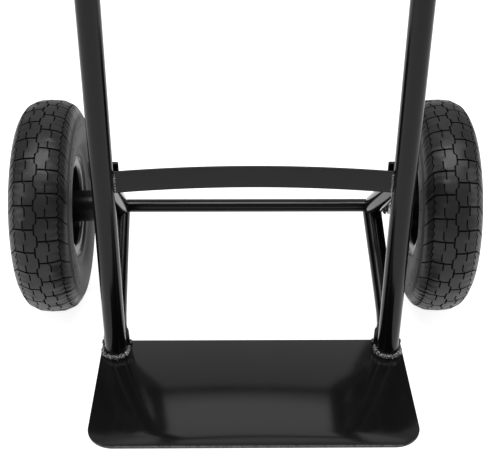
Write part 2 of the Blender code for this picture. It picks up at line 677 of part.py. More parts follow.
# ---------------------------------------------------------------- bearings
def ball_set(name, hinge, middle):
    """Bearing balls joined by their cage, as one piece."""
    pitch = (BEARING_RADIUS + BORE) / 2
    room = (BEARING_RADIUS - BORE) / 2 - BEARING_RING
    cage_half = room * 0.25

    def balls(bm):
        for i in range(BALLS):
            angle = math.tau * i / BALLS
            spot = Matrix.Translation((pitch * math.cos(angle), pitch * math.sin(angle), middle))
            bmesh.ops.create_icosphere(bm, subdivisions=1, radius=room - 2 * GAP, matrix=spot)
    cage = add(name, ring(name, pitch - cage_half, pitch + cage_half, middle - CAGE, middle + CAGE,
                          2 * BALLS), BRIGHT, hinge)
    boolean(cage, cutter(name + "_balls", mesh_from(name + "_balls", balls), hinge), "UNION")


def bearing(name, hinge, low, seal_low):
    """A ball bearing from low to low + its width, with a seal on its open face."""
    race = BORE + BEARING_RING
    track = BEARING_RADIUS - BEARING_RING
    high = low + BEARING_WIDTH
    add(name + "_outer_ring", ring(name + "_outer_ring", track, BEARING_RADIUS, low, high), BRIGHT,
        hinge)
    add(name + "_inner_ring", ring(name + "_inner_ring", BORE, race, low, high), BRIGHT, hinge)
    add(name + "_seal", ring(name + "_seal", race + GAP, track - GAP, seal_low, seal_low + SEAL),
        BUTYL, hinge)
    ball_set(name + "_balls", hinge, (low + high) / 2)


# ---------------------------------------------------------------- valve
def valve_path():
    """The valve's bent stem as (radius, z): out through the rim, then outboard."""
    z = RIM_HALF_WIDTH / 2
    bottom = RIM_RADIUS - 0.0085
    return [(FLANGE_RADIUS + STEM_TOP, z), (bottom + 0.005, z), (bottom + 0.0015, z + 0.0015),
            (bottom, z + 0.005), (bottom, TYRE_HALF_WIDTH - 0.008)]


def cap_outline():
    """Section of the valve cap, round the stem's own line."""
    tip = valve_path()[-1][1]
    low = tip - CAP_LENGTH
    bore = VALVE_RADIUS + GAP
    outside = VALVE_RADIUS + CAP_WALL
    return [(0, tip + GAP), (bore, tip + GAP), (bore, low), (outside, low), (outside, tip + 0.0015),
            (outside - 0.001, tip + 0.0025), (0, tip + 0.0025)]


def valve(side, hinge):
    """The stem and its cap; gives the cutter that makes room for the stem."""
    turn = Matrix.Rotation(math.pi / BOLTS + BOLT_TURN, 4, "Z")
    line = [(radius, 0, z) for radius, z in valve_path()]
    name = side + "_valve_stem"
    add(name, wire(name, line, VALVE_RADIUS, 2), BRASS, hinge, turn)
    cap = turned(side + "_valve_cap", cap_outline(), SMALL_STEPS, closed=False)
    add(side + "_valve_cap", cap, PLASTIC, hinge, turn @ Matrix.Translation((line[-1][0], 0, 0)))
    name = side + "_valve_hole"
    reach = FLANGE_HEIGHT + STEM_TOP + GAP
    hole = rods(name, VALVE_RADIUS + VALVE_ROOM, -reach, reach, SMALL_STEPS)
    place = turn @ Matrix.Translation((RIM_RADIUS, 0, line[0][2])) @ ACROSS
    return cutter(name, hole, hinge, place)


# ---------------------------------------------------------------- wheel
def wheel(side):
    """One wheel round its own axis, with +Z outboard; both sides are the same part."""
    sign = SIDES[side]
    x = AXLE_X + sign * (NEAR_WHEEL_X + PLAY[side])
    turn = Matrix.Rotation(sign * math.pi / 2, 4, "Y")
    hinge = centre_of(side + "_wheel_axis", Matrix.Translation((x, AXLE_Y, AXLE_Z)) @ turn)
    add(side + "_tyre", turned(side + "_tyre", tyre_outline(), WHEEL_STEPS), RUBBER, hinge)
    valve_hole = valve(side, hinge)
    inner_tube(side, hinge, valve_hole)
    rim_and_hub(side, hinge, valve_hole)
    bearing(side + "_inboard_bearing", hinge, -HUB_INBOARD, -HUB_INBOARD)
    bearing(side + "_outboard_bearing", hinge, HUB_OUTBOARD - BEARING_WIDTH, HUB_OUTBOARD - SEAL)


# ---------------------------------------------------------------- the truck
clear_scene()
PARTS = collection("hand_truck")
CUTTERS = collection("cutters")
FRAME = centre_of("frame_middle", Matrix.Translation((FRAME_X, 0, 0)))
AXLE_LINE = centre_of("axle_middle", Matrix.Translation((AXLE_X, 0, 0)))

toe_plate()
axle()
for bar_name, bar_height in BAR_CENTRES.items():
    crossbar(bar_name, bar_height)
for side_name in SIDES:
    side_tube(side_name)
    grip(side_name)
    axle_brace(side_name)
    split_pin(side_name)
    tube_weld(side_name)
    axle_weld(side_name)
    spacer_and_washer(side_name)
    wheel(side_name)
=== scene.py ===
# %% [markdown]
# # A hand truck on pneumatic wheels
# A hand truck is a ladder of steel tube on a toe plate, with two wheels on one axle behind it.
# The frame already has every part in its place and on its joint, but its parts are coarse.
# This lesson makes the surfaces that the eye sees: welded and painted steel, pressed rims and a
# tyre whose tread is cut from the rubber. Each piece takes its place from the frame.

import math

import bmesh
import bpy
from mathutils import Matrix, Vector


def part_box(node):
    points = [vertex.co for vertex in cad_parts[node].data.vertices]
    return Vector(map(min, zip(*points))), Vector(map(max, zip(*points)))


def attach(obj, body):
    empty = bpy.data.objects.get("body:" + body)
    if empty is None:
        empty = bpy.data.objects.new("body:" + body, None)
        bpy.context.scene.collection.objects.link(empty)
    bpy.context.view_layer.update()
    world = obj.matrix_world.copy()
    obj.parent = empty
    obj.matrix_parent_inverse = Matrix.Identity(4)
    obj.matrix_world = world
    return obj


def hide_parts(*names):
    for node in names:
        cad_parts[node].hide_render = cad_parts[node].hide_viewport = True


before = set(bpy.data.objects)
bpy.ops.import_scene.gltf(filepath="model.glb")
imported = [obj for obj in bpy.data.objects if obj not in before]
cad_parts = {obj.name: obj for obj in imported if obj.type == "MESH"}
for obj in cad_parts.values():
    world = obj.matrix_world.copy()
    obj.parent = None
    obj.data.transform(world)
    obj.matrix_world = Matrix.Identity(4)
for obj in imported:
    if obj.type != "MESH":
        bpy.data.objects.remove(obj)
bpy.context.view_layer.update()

# %% [markdown]
# ## Where things are
# Positions come from the boxes of the frame's nodes, so a change of size there moves the pieces
# here as well. Only what a box can't tell, such as a wall or a bend, is written down as a value.

# %% Take the main places from the frame
def middle(node):
    low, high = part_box(node)
    return (low + high) / 2


SIDES = {"left": -1, "right": 1}
GAP = 0.0003
WHEEL = middle("right_tyre")
TYRE_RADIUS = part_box("right_tyre")[1].z - WHEEL.z
HALF_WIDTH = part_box("right_tyre")[1].x - WHEEL.x
FRAME_X = (middle("left_side_tube").x + middle("right_side_tube").x) / 2
TUBE_X = middle("right_side_tube").x - FRAME_X
AXLE_SHIFT = middle("axle").x - FRAME_X
TUBE_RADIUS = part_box("right_side_tube")[1].x - FRAME_X - TUBE_X
TUBE_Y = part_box("right_side_tube")[0].y + TUBE_RADIUS
PLATE_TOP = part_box("toe_plate")[1].z
AXLE_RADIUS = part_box("axle")[1].z - WHEEL.z
AXLE_LINE = Matrix.Translation((0, WHEEL.y, WHEEL.z)) @ Matrix.Rotation(math.pi / 2, 4, "Y")
print("wheel centre", tuple(round(v, 4) for v in WHEEL))
print("frame's middle at", round(FRAME_X, 4), "and its tubes", round(TUBE_X, 4), "either side of it")

# %% [markdown]
# ## Shader maths in Python
# A material here is a small formula over the surface. Writing it as a node graph by hand is slow,
# so one class wraps a socket and lets Python's operators add the Math nodes, and one method adds
# any other node.

# %% A socket that Python can calculate with
class Wire:
    """One output socket of a material's nodes."""

    def __init__(self, finish, socket):
        self.finish = finish
        self.socket = socket

    def maths(self, operation, *others):
        return self.finish.node("Math", {"operation": operation}, self, *others)

    def __add__(self, other):
        return self.maths("ADD", other)

    def __sub__(self, other):
        return self.maths("SUBTRACT", other)

    def __rsub__(self, other):
        return self.finish.node("Math", {"operation": "SUBTRACT"}, other, self)

    def __mul__(self, other):
        return self.maths("MULTIPLY", other)

    def __truediv__(self, other):
        return self.maths("DIVIDE", other)

    def __pow__(self, other):
        return self.maths("POWER", other)

    __radd__ = __add__
    __rmul__ = __mul__

    def step(self, low, high):
        """0 below low, 1 above high, and smooth between them; low may be the larger."""
        settings = {"interpolation_type": "SMOOTHSTEP"}
        return self.finish.node("MapRange", settings, self, low, high)


# %% A material and its nodes
class Finish:
    """A material: its constants sit on the shader's own sockets, and what varies is wired in."""

    def __init__(self, name, **constants):
        self.material = bpy.data.materials.new(name)
        self.material.use_nodes = True
        self.tree = self.material.node_tree
        self.shader = self.tree.nodes["Principled BSDF"]
        for key, value in constants.items():
            self.shader.inputs[key.replace("_", " ")].default_value = value

    def feed(self, socket, value):
        if isinstance(value, Wire):
            self.tree.links.new(value.socket, socket)
        else:
            socket.default_value = value

    def node(self, kind, settings, *values, out=0, **named):
        made = self.tree.nodes.new("ShaderNode" + kind)
        for key, value in settings.items():
            setattr(made, key, value)
        sockets = [s for s in made.inputs if s.enabled]
        pairs = list(zip(sockets, values))
        pairs += [(next(s for s in sockets if s.name == key.replace("_", " ")), value)
                  for key, value in named.items()]
        for socket, value in pairs:
            self.feed(socket, value)
        return Wire(self, [s for s in made.outputs if s.enabled][out])

    def place(self):
        return self.node("TexCoord", {}, out=3)

    def axes(self):
        """The x, y and z of a point on the piece."""
        split = self.node("SeparateXYZ", {}, self.place())
        return [Wire(self, s) for s in split.socket.node.outputs]

    def noise(self, scale, detail=3.0, rough=0.5):
        return self.node("TexNoise", {}, Vector=self.place(), Scale=scale, Detail=detail,
                         Roughness=rough)

    def tint(self, factor, first, second):
        ends = [end if isinstance(end, Wire) else (*end, 1.0) for end in (first, second)]
        return self.node("Mix", {"data_type": "RGBA"}, Factor=factor, A=ends[0], B=ends[1])

    def surface(self, colour=None, roughness=None, height=None, depth=0.0002, strength=0.5):
        if colour is not None:
            self.feed(self.shader.inputs["Base Color"], colour)
        if roughness is not None:
            self.feed(self.shader.inputs["Roughness"], roughness)
        if height is not None:
            bump = self.node("Bump", {}, Strength=strength, Distance=depth, Height=height)
            self.feed(self.shader.inputs["Normal"], bump)
        return self


print("shader helpers ready")

# %% [markdown]
# ## Black powder coat
# The frame and rims are sprayed with powder and baked, which leaves a fine orange peel: bumps
# about two millimetres apart and far flatter than they are wide. Noise at the right scale does it
# on any shape. Broad noise moves the roughness a little, as handling marks do.

# %% Powder coat
def powder_coat(name, dark=0.0012, light=0.0022, smooth=0.11, ior=1.31):
    coat = Finish(name, IOR=ior)
    broad = coat.noise(14.0, 4.0, 0.6)
    peel = coat.noise(520.0, 2.0)
    grain = coat.noise(2600.0, 1.0)
    tone = coat.tint(broad, (dark, dark, dark * 1.06), (light, light, light * 1.04))
    return coat.surface(tone, smooth + broad * 0.05 + grain * 0.03, peel + grain * 0.2,
                        depth=0.00010, strength=0.30)


STEEL_COAT = powder_coat("powder_coat")
RIM_COAT = powder_coat("rim_coat", 0.0025, 0.005, 0.20, 1.30)
print("powder coat for", STEEL_COAT.material.name, "and", RIM_COAT.material.name)

# %% [markdown]
# The toe plate is the same coat. Its front edge is painted lighter in patches, and its top has the
# faint smears of a wiped sheet. The lighter edge is a mask over the distance to the front
# edge.

# %% Plate coat
plate_low, plate_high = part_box("toe_plate")


def plate_coat():
    coat = Finish("plate_coat", IOR=1.42)
    x, y, z = coat.axes()
    broad = coat.noise(9.0, 5.0, 0.62)
    streak = coat.node("TexNoise", {}, Vector=coat.node(
        "Mapping", {}, Vector=coat.place(), Scale=(60.0, 7.0, 1.0)), Scale=1.0, Detail=4.0)
    peel = coat.noise(560.0, 2.0)
    # Patches near the front edge are painted a lighter grey.
    edge = y.step(plate_low.y + 0.0022, plate_low.y + 0.0004) * coat.noise(260.0, 3.0).step(0.30, 0.55)
    smear = broad.step(0.55, 0.75) * 0.6 + streak.step(0.58, 0.78) * 0.2
    base = coat.tint(smear, (0.0038, 0.0038, 0.0040), (0.0080, 0.0079, 0.0078))
    lighter_edge_tone = coat.tint(edge * 0.6, base, (0.060, 0.061, 0.063))
    return coat.surface(lighter_edge_tone, 0.11 + broad * 0.05 + smear * 0.06 + edge * 0.12, peel, 0.00008, 0.25)


PLATE_COAT = plate_coat()
print("plate coat made")

# %% [markdown]
# ## Weld, zinc, bearing steel, brass and plastics
# A weld bead is painted with the rest, but its surface is rougher, its crests catch the light, and light
# grey specks are painted on it as glints.
# Washers, pins and bolts are zinc plated, with a fine crystalline mottle. Grips and caps are
# moulded plastic with a spark-eroded grain.

# %% The small finishes
def weld_coat():
    coat = Finish("weld_coat", Coat_Weight=0.6, Coat_Roughness=0.05, IOR=1.5)
    lumps = coat.noise(480.0, 4.0, 0.65)
    # Light grey specks on the black bead are painted glints.
    painted_glint = coat.noise(900.0, 2.0).step(0.56, 0.62)
    tone = coat.tint(painted_glint, (0.006, 0.006, 0.006), (0.300, 0.300, 0.290))
    return coat.surface(tone, 0.10 + lumps * 0.12, lumps, 0.0020, 1.0)


def plated(name, colour, roughness):
    metal = Finish(name, Metallic=1.0)
    mottle = metal.node("TexVoronoi", {}, Vector=metal.place(), Scale=700.0)
    broad = metal.noise(120.0, 3.0)
    dull = tuple(c * 0.72 for c in colour)
    return metal.surface(metal.tint(broad, dull, colour), roughness + mottle * 0.10 + broad * 0.12,
                         mottle, 0.00005, 0.3)


def moulded(name, level, roughness, grain):
    plastic = Finish(name, IOR=1.46)
    texture = plastic.noise(grain, 3.0, 0.6)
    broad = plastic.noise(25.0, 3.0)
    tone = plastic.tint(broad, (level, level, level), (level * 1.5, level * 1.5, level * 1.45))
    return plastic.surface(tone, roughness + texture * 0.12, texture, 0.00018, 0.5)


WELD_COAT = weld_coat()
ZINC = plated("zinc_plate", (0.62, 0.63, 0.65), 0.22)
BEARING_STEEL = plated("bearing_steel", (0.66, 0.66, 0.66), 0.12)
BRASS = plated("valve_brass", (0.66, 0.50, 0.24), 0.20)
GRIP_PLASTIC = moulded("grip_plastic", 0.012, 0.46, 1500.0)
SEAL_RUBBER = moulded("seal_rubber", 0.014, 0.55, 900.0)
TUBE_RUBBER = moulded("tube_rubber", 0.016, 0.60, 500.0)
print("seven small finishes made")

# %% [markdown]
# ## Tyre rubber
# One mould makes both the tread and the wall, but they don't look alike: the blocks are smooth
# and a little glossy from the polished mould, and the wall is greyer, with fine rings left by the
# mould's turning. Distance from the axle tells the two apart. What lies in a groove is painted
# nearly black as shade: the tyre's mesh marks those points, and the material reads the mark.

# %% Rubber for tread and wall
WALL_TOP = TYRE_RADIUS - 0.017


def tyre_rubber():
    rubber = Finish("tyre_rubber", IOR=1.36)
    x, y, z = rubber.axes()
    across = y - WHEEL.y
    up = z - WHEEL.z
    radius = (across * across + up * up) ** 0.5
    wall = radius.step(WALL_TOP + 0.004, WALL_TOP - 0.004)
    groove = rubber.node("Attribute", {"attribute_name": "groove"}, out=2)
    broad = rubber.noise(38.0, 4.0, 0.6)
    fine = rubber.noise(900.0, 3.0, 0.6)
    rings = (radius * 5200.0).maths("SINE") * wall
    # Points in a groove are painted nearly black: painted shade.
    tread_and_groove_shade = rubber.tint(groove.step(0.1, 0.8), (0.0065, 0.0064, 0.0063), (0.0005, 0.0005, 0.0005))
    side = rubber.tint(broad, (0.030, 0.0297, 0.0293), (0.046, 0.0455, 0.045))
    tone = rubber.tint(wall, tread_and_groove_shade, side)
    return rubber.surface(tone, 0.24 + wall * 0.24 + groove * 0.4 + fine * 0.08 + broad * 0.22,
                          fine * 0.7 + rings * 0.25 + broad * 0.5, 0.00018, 0.5)


TYRE_RUBBER = tyre_rubber()
print("wall begins at radius", round(WALL_TOP, 4))

# %% [markdown]
# ## Making a piece
# Every shape below is a bmesh. When it is done, its doubles are merged, its faces are turned
# outwards, and it becomes an object that rides on a body of the frame. Smooth shading with sharp
# edges above an angle keeps round things round and corners crisp.

# %% From bmesh to piece
def piece(name, bm, body, finish, nodes=(), angle=35):
    bmesh.ops.remove_doubles(bm, verts=bm.verts, dist=1e-6)
    bmesh.ops.recalc_face_normals(bm, faces=bm.faces)
    mesh = bpy.data.meshes.new(name)
    bm.to_mesh(mesh)
    bm.free()
    mesh.materials.append(finish.material)
    mesh.shade_smooth()
    mesh.set_sharp_from_angle(angle=math.radians(angle))
    obj = bpy.data.objects.new(name, mesh)
    bpy.context.scene.collection.objects.link(obj)
    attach(obj, body)
    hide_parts(*nodes)
    print(name, len(mesh.polygons), "faces")
    return obj


def frame_piece(name, bm, finish, nodes=(), angle=35):
    """A piece modelled about the frame's own middle, moved to where that middle is."""
    bmesh.ops.translate(bm, vec=(FRAME_X, 0, 0), verts=bm.verts)
    return piece(name, bm, "frame", finish, nodes, angle)


def wheel_place(side):
    """From a wheel's own frame, +Z outboard along its axle, to where the wheel is."""
    sign = SIDES[side]
    centre = Matrix.Translation((sign * WHEEL.x, WHEEL.y, WHEEL.z))
    return centre @ Matrix.Rotation(sign * math.pi / 2, 4, "Y")


def wheel_piece(side, name, bm, finish, node=None, angle=35, place=Matrix()):
    """A piece modelled in a wheel's own frame, moved to the wheel and riding on it."""
    bmesh.ops.transform(bm, matrix=wheel_place(side) @ place, verts=bm.verts)
    nodes = [side + "_" + node] if node else []
    return piece(side + "_" + name, bm, side + "_wheel", finish, nodes, angle)


# %% Turning a profile
def turn(bm, outline, steps, closed=True, place=Matrix()):
    """Spins (radius, height) points once round Z, then moves what it made to its place."""
    verts = [bm.verts.new((radius, 0, height)) for radius, height in outline]
    ends = verts[1:] + verts[:1] if closed else verts[1:]
    edges = [bm.edges.new(pair) for pair in zip(verts, ends)]
    before = set(bm.verts) - set(verts)
    bmesh.ops.spin(bm, geom=verts + edges, cent=(0, 0, 0), axis=(0, 0, 1), angle=math.tau,
                   steps=steps, use_merge=True)
    bmesh.ops.transform(bm, matrix=place, verts=[v for v in bm.verts if v not in before])


def rounded(points, radius, segments=4):
    """The open line with each inner corner replaced by an arc-like curve."""
    points = [Vector(p) for p in points]
    line = [points[0]]
    for before, corner, after in zip(points, points[1:], points[2:]):
        reach = min(radius, (corner - before).length * 0.45, (after - corner).length * 0.45)
        start = corner + (before - corner).normalized() * reach
        end = corner + (after - corner).normalized() * reach
        for i in range(segments + 1):
            t = i / segments
            line.append(start * (1 - t) ** 2 + corner * 2 * t * (1 - t) + end * t ** 2)
    return line + [points[-1]]


# %% Skinning rings
def ring(bm, centre, across, through, reach, depth, count):
    """A closed ring of edges with half sizes reach and depth; its flat share grows as it is pressed."""
    made = bmesh.ops.create_circle(bm, segments=count, radius=1.0)["verts"]
    for vert in made:
        flat = (reach - depth) * max(-1.0, min(1.0, 2 * vert.co.x))
        vert.co = centre + across * (flat + depth * vert.co.x) + through * (depth * vert.co.y)
    return list({edge for vert in made for edge in vert.link_edges})


def skin(bm, rings):
    """Joins rings of edges one to the next, and closes both ends."""
    for first, second in zip(rings, rings[1:]):
        bmesh.ops.bridge_loops(bm, edges=first + second)
    for end in (rings[0], rings[-1]):
        bmesh.ops.contextual_create(bm, geom=end)


def bar(bm, path, radius, count=16, swell=None):
    """A round bar along a path; swell(i) scales its radius at each point."""
    rings = []
    across = None
    for i, spot in enumerate(path):
        along = (path[min(i + 1, len(path) - 1)] - path[max(i - 1, 0)]).normalized()
        if across is None:
            across = along.orthogonal()
        across = (across - along * across.dot(along)).normalized()
        size = radius * (swell(i) if swell else 1.0)
        rings.append(ring(bm, spot, across, along.cross(across), size, size, count))
    skin(bm, rings)


print("modelling helpers ready")

# %% [markdown]
# ## The toe plate
# A sheet of steel, sheared square at the back and rounded at the front corners. A cube scaled to
# the sheet is the start. Two bevels do the rest: a large one on the front corners, and a very
# small one on every edge, which gives the light something to catch.

# %% Toe plate
def toe_plate():
    bm = bmesh.new()
    size = plate_high - plate_low
    place = Matrix.Translation((plate_low + plate_high) / 2) @ Matrix.Diagonal((*size, 1.0))
    bmesh.ops.create_cube(bm, size=1.0, matrix=place)
    front = [e for e in bm.edges if abs(e.verts[0].co.z - e.verts[1].co.z) > size.z / 2
             and e.verts[0].co.y < 0 and e.verts[0].co.y < plate_low.y + 0.01]
    bmesh.ops.bevel(bm, geom=front, offset=0.030, segments=20, profile=0.5, affect="EDGES", material=-1)
    rim = [e for e in bm.edges if len(e.link_faces) == 2 and e.calc_face_angle(0) > 1.0]
    bmesh.ops.bevel(bm, geom=rim, offset=0.0006, segments=2, profile=0.5, affect="EDGES", material=-1)
    piece("toe_plate_sheet", bm, "frame", PLATE_COAT, ["toe_plate"], 50)


toe_plate()

# %% [markdown]
# ## The side tubes
# Each tube rises straight from the plate and is bent back into a handle. That is how a bender
# makes it, and bmesh can do the same: a circle is extruded up, spun round the bend's centre, and
# extruded again.

# %% Side tubes
STRAIGHT_HEIGHT = 0.985
BEND = 0.090
HANDLE_ANGLE = math.radians(70)
HANDLE_LENGTH = 0.120
HANDLE_WAY = Vector((0, math.sin(HANDLE_ANGLE), math.cos(HANDLE_ANGLE)))


def handle_end(sign):
    back = TUBE_Y + BEND - BEND * math.cos(HANDLE_ANGLE)
    up = STRAIGHT_HEIGHT + BEND * math.sin(HANDLE_ANGLE)
    return Vector((sign * TUBE_X, back, up)) + HANDLE_WAY * HANDLE_LENGTH


def drawn(bm, edges, shift):
    made = bmesh.ops.extrude_edge_only(bm, edges=edges)["geom"]
    verts = [g for g in made if isinstance(g, bmesh.types.BMVert)]
    bmesh.ops.translate(bm, vec=shift, verts=verts)
    return [g for g in made if isinstance(g, bmesh.types.BMEdge) and all(v in verts for v in g.verts)]


def side_tube(side):
    sign = SIDES[side]
    bm = bmesh.new()
    foot = Vector((sign * TUBE_X, TUBE_Y, PLATE_TOP + GAP / 2))
    verts = bmesh.ops.create_circle(bm, segments=48, radius=TUBE_RADIUS,
                                    matrix=Matrix.Translation(foot))["verts"]
    start = list({e for v in verts for e in v.link_edges})
    upper = drawn(bm, start, (0, 0, STRAIGHT_HEIGHT - foot.z))
    geometry = upper + list({v for e in upper for v in e.verts})
    bent = bmesh.ops.spin(bm, geom=geometry, cent=(sign * TUBE_X, TUBE_Y + BEND, STRAIGHT_HEIGHT),
                          axis=(-1, 0, 0), angle=HANDLE_ANGLE, steps=20)["geom_last"]
    last = drawn(bm, [g for g in bent if isinstance(g, bmesh.types.BMEdge)],
                 HANDLE_WAY * HANDLE_LENGTH)
    for end in (start, last):
        bmesh.ops.contextual_create(bm, geom=end)
    frame_piece(side + "_upright_tube", bm, STEEL_COAT, [side + "_side_tube"])


for side in SIDES:
    side_tube(side)

# %% [markdown]
# ## The crossbars
# Three flat bars, bowed to the rear so that a drum lies in them. A cube stretched between the
# tubes, cut along its length and pushed back by a parabola, gives the bow, and a fine bevel breaks
# its edges.

# %% Crossbars
BAR_THICKNESS = 0.003


def crossbar(name):
    low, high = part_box(name + "_crossbar")
    bow = high.y - low.y - BAR_THICKNESS
    bm = bmesh.new()
    size = Vector((high.x - low.x, BAR_THICKNESS, high.z - low.z))
    place = Matrix.Translation((0, TUBE_Y, (low.z + high.z) / 2)) @ Matrix.Diagonal((*size, 1.0))
    reach = size.x / 2
    bmesh.ops.create_cube(bm, size=1.0, matrix=place)
    edges = [e for e in bm.edges if abs(e.verts[0].co.x - e.verts[1].co.x) > reach]
    bmesh.ops.bevel(bm, geom=edges, offset=0.0007, segments=3, profile=0.5, affect="EDGES", material=-1)
    long = [e for e in bm.edges if abs(e.verts[0].co.x - e.verts[1].co.x) > reach]
    bmesh.ops.subdivide_edges(bm, edges=long, cuts=47, use_grid_fill=True)
    for vert in bm.verts:
        vert.co.y += bow * (1 - (vert.co.x / reach) ** 2)
    frame_piece(name + "_bowed_bar", bm, STEEL_COAT, [name + "_crossbar"])


BARS = ("lower", "middle", "upper")
for name in BARS:
    crossbar(name)

# %% [markdown]
# ## The axle braces
# A brace is a round tube bent to a V behind the side tube. Its ends are pressed flat to weld
# against the tube above and on the plate's edge below. Stations along it give its centre, width
# and thickness, a smooth curve runs through them, and rings are skinned from end to end.

# %% Stations of a brace
BRACE_RADIUS = AXLE_RADIUS + 0.0036
BRACE_AXLE_X = TUBE_X - 0.0050
BRACE_FOOT_X = TUBE_X + 0.0008
BRACE_BEND = 0.015
BRACE_REACH = 0.036
BRACE_KINK = 0.011
TOP_FLAT = 0.006
FOOT_FLAT = 0.009


def brace_stations(sign):
    """(x, y, z), width and thickness, from the upper end to the foot."""
    low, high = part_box("right_axle_brace")
    back = TUBE_Y + TUBE_RADIUS + GAP
    full = 2 * BRACE_RADIUS
    foot = low.z
    tube_x, foot_x = sign * TUBE_X, sign * BRACE_FOOT_X
    axle_x = sign * BRACE_AXLE_X + AXLE_SHIFT
    start = Vector((TUBE_Y + BRACE_REACH, high.z - 0.037))
    hole = Vector((WHEEL.y, WHEEL.z))
    down = (hole - start).normalized()
    kink = hole + BRACE_KINK * down
    landing = Vector((TUBE_Y + BRACE_REACH, foot + 0.028))
    forward = (landing - kink).normalized()
    inner = (forward - down).normalized()
    top_y, foot_y = back + TOP_FLAT / 2, back + FOOT_FLAT / 2
    spots = [
        (tube_x, Vector((top_y, high.z)), TOP_FLAT),
        (tube_x, Vector((top_y, high.z - 0.015)), TOP_FLAT),
        (tube_x, Vector((top_y + 0.0055, high.z - 0.0235)), 0.0104), (tube_x, start, full),
        (axle_x, hole - 0.019 * down, full), (axle_x, kink - BRACE_BEND * down, full),
        (axle_x, kink + 0.004 * inner, full * 0.92),
        (axle_x, kink + BRACE_BEND * forward, full),
        (foot_x, landing, full), (foot_x, Vector((foot_y + 0.0055, foot + 0.0145)), 0.0133),
        (foot_x, Vector((foot_y, foot + 0.008)), FOOT_FLAT),
        (foot_x, Vector((foot_y, foot)), FOOT_FLAT)]
    girth = math.pi * full
    return [Vector((x, c.x, c.y, (girth - math.pi * t) / 2 + t, t)) for x, c, t in spots]


def flowing(stations, steps):
    """Points on the smooth curve that passes through all the stations."""
    line = []
    for i in range(len(stations) - 1):
        a, b, c, d = (stations[max(0, min(len(stations) - 1, i + k))] for k in (-1, 0, 1, 2))
        for j in range(steps):
            t = j / steps
            line.append(0.5 * (2 * b + (c - a) * t + (2 * a - 5 * b + 4 * c - d) * t * t
                               + (3 * b - a - 3 * c + d) * t ** 3))
    return line + [stations[-1]]


print(len(brace_stations(1)), "stations on a brace")

# %% Braces
def brace(side):
    stations = brace_stations(SIDES[side])
    line = stations[:1]
    for i in range(len(stations) - 1):
        line += flowing(stations[max(i - 1, 0):i + 3], 4)[4 * min(i, 1) + 1:4 * min(i, 1) + 5]
    bm = bmesh.new()
    rings = []
    across = Vector((1, 0, 0))
    for i, spot in enumerate(line):
        before, after = line[max(i - 1, 0)], line[min(i + 1, len(line) - 1)]
        along = Vector((0, after[1] - before[1], after[2] - before[2])).normalized()
        centre = Vector(spot[:3])
        rings.append(ring(bm, centre, across, along.cross(across), spot[3] / 2, spot[4] / 2, 28))
    skin(bm, rings)
    frame_piece(side + "_brace_tube", bm, STEEL_COAT, [side + "_axle_brace"], 50)


for side in SIDES:
    brace(side)

# %% [markdown]
# ## The axle and what holds the wheels on it
# The axle is plain bar with chamfered ends. On each side sit a spacer against the brace's weld, a
# washer outside the wheel, and a split pin through the bar.

# %% Axle, spacers and washers
def axle():
    low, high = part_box("axle")
    bm = bmesh.new()
    chamfer = 0.0012
    outline = [(0.0, low.x), (AXLE_RADIUS - chamfer, low.x), (AXLE_RADIUS, low.x + chamfer),
               (AXLE_RADIUS, high.x - chamfer), (AXLE_RADIUS - chamfer, high.x), (0.0, high.x)]
    turn(bm, outline, 48, closed=False, place=AXLE_LINE)
    piece("axle_bar", bm, "frame", STEEL_COAT, ["axle"])


def collar(side, node, name, finish, body="frame", chamfer=0.0004):
    """A plain ring with broken edges, in the place of the frame's node."""
    low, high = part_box(side + "_" + node)
    outer = high.z - WHEEL.z
    inner = AXLE_RADIUS + GAP
    corners = [(inner, low.x), (outer - chamfer, low.x), (outer, low.x + chamfer),
               (outer, high.x - chamfer), (outer - chamfer, high.x), (inner, high.x)]
    bm = bmesh.new()
    turn(bm, corners, 48, place=AXLE_LINE)
    piece(side + "_" + name, bm, body, finish, [side + "_" + node])


axle()
for side in SIDES:
    collar(side, "spacer", "axle_spacer", ZINC)
    collar(side, "washer", "axle_washer", ZINC)

# %% Split pins
def split_pin(side):
    low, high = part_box(side + "_split_pin")
    x = (low.x + high.x) / 2
    eye = 0.0034
    top = WHEEL.z + AXLE_RADIUS + 0.0019
    path = [Vector((x, WHEEL.y, low.z)), Vector((x, WHEEL.y, top))]
    for i in range(1, 15):
        angle = math.radians(21 * i)
        rise = top + 0.001 + eye * (1 - math.cos(angle))
        path.append(Vector((x, WHEEL.y - eye * math.sin(angle), rise)))
    bm = bmesh.new()
    bar(bm, path, (high.x - low.x) / 2, 12)
    piece(side + "_cotter", bm, "frame", ZINC, [side + "_split_pin"])


for side in SIDES:
    split_pin(side)

# %% [markdown]
# ## Weld beads
# A hand-laid bead is a row of overlapping ripples. Here a bead is a bar along its seam whose
# radius swells once for each ripple, with a little change of size from one to the next.

# %% Beads
def ripple(count, tall=0.16):
    """The swelling of a bead at each of its points, thinner at both ends."""
    def at(i):
        wave = abs(math.sin(i * math.pi / 4))
        uneven = 0.07 * math.sin(i * 1.7) + 0.05 * math.sin(i * 0.61 + 1.0)
        taper = min(1.0, 0.45 + 0.25 * min(i, count - 1 - i))
        return taper * (1.0 - tall * wave + uneven)
    return at


def bead(bm, start, end, radius):
    length = (end - start).length
    count = max(8, int(length / 0.0006))
    path = [start.lerp(end, i / (count - 1)) for i in range(count)]
    bar(bm, path, radius, 10, ripple(count))


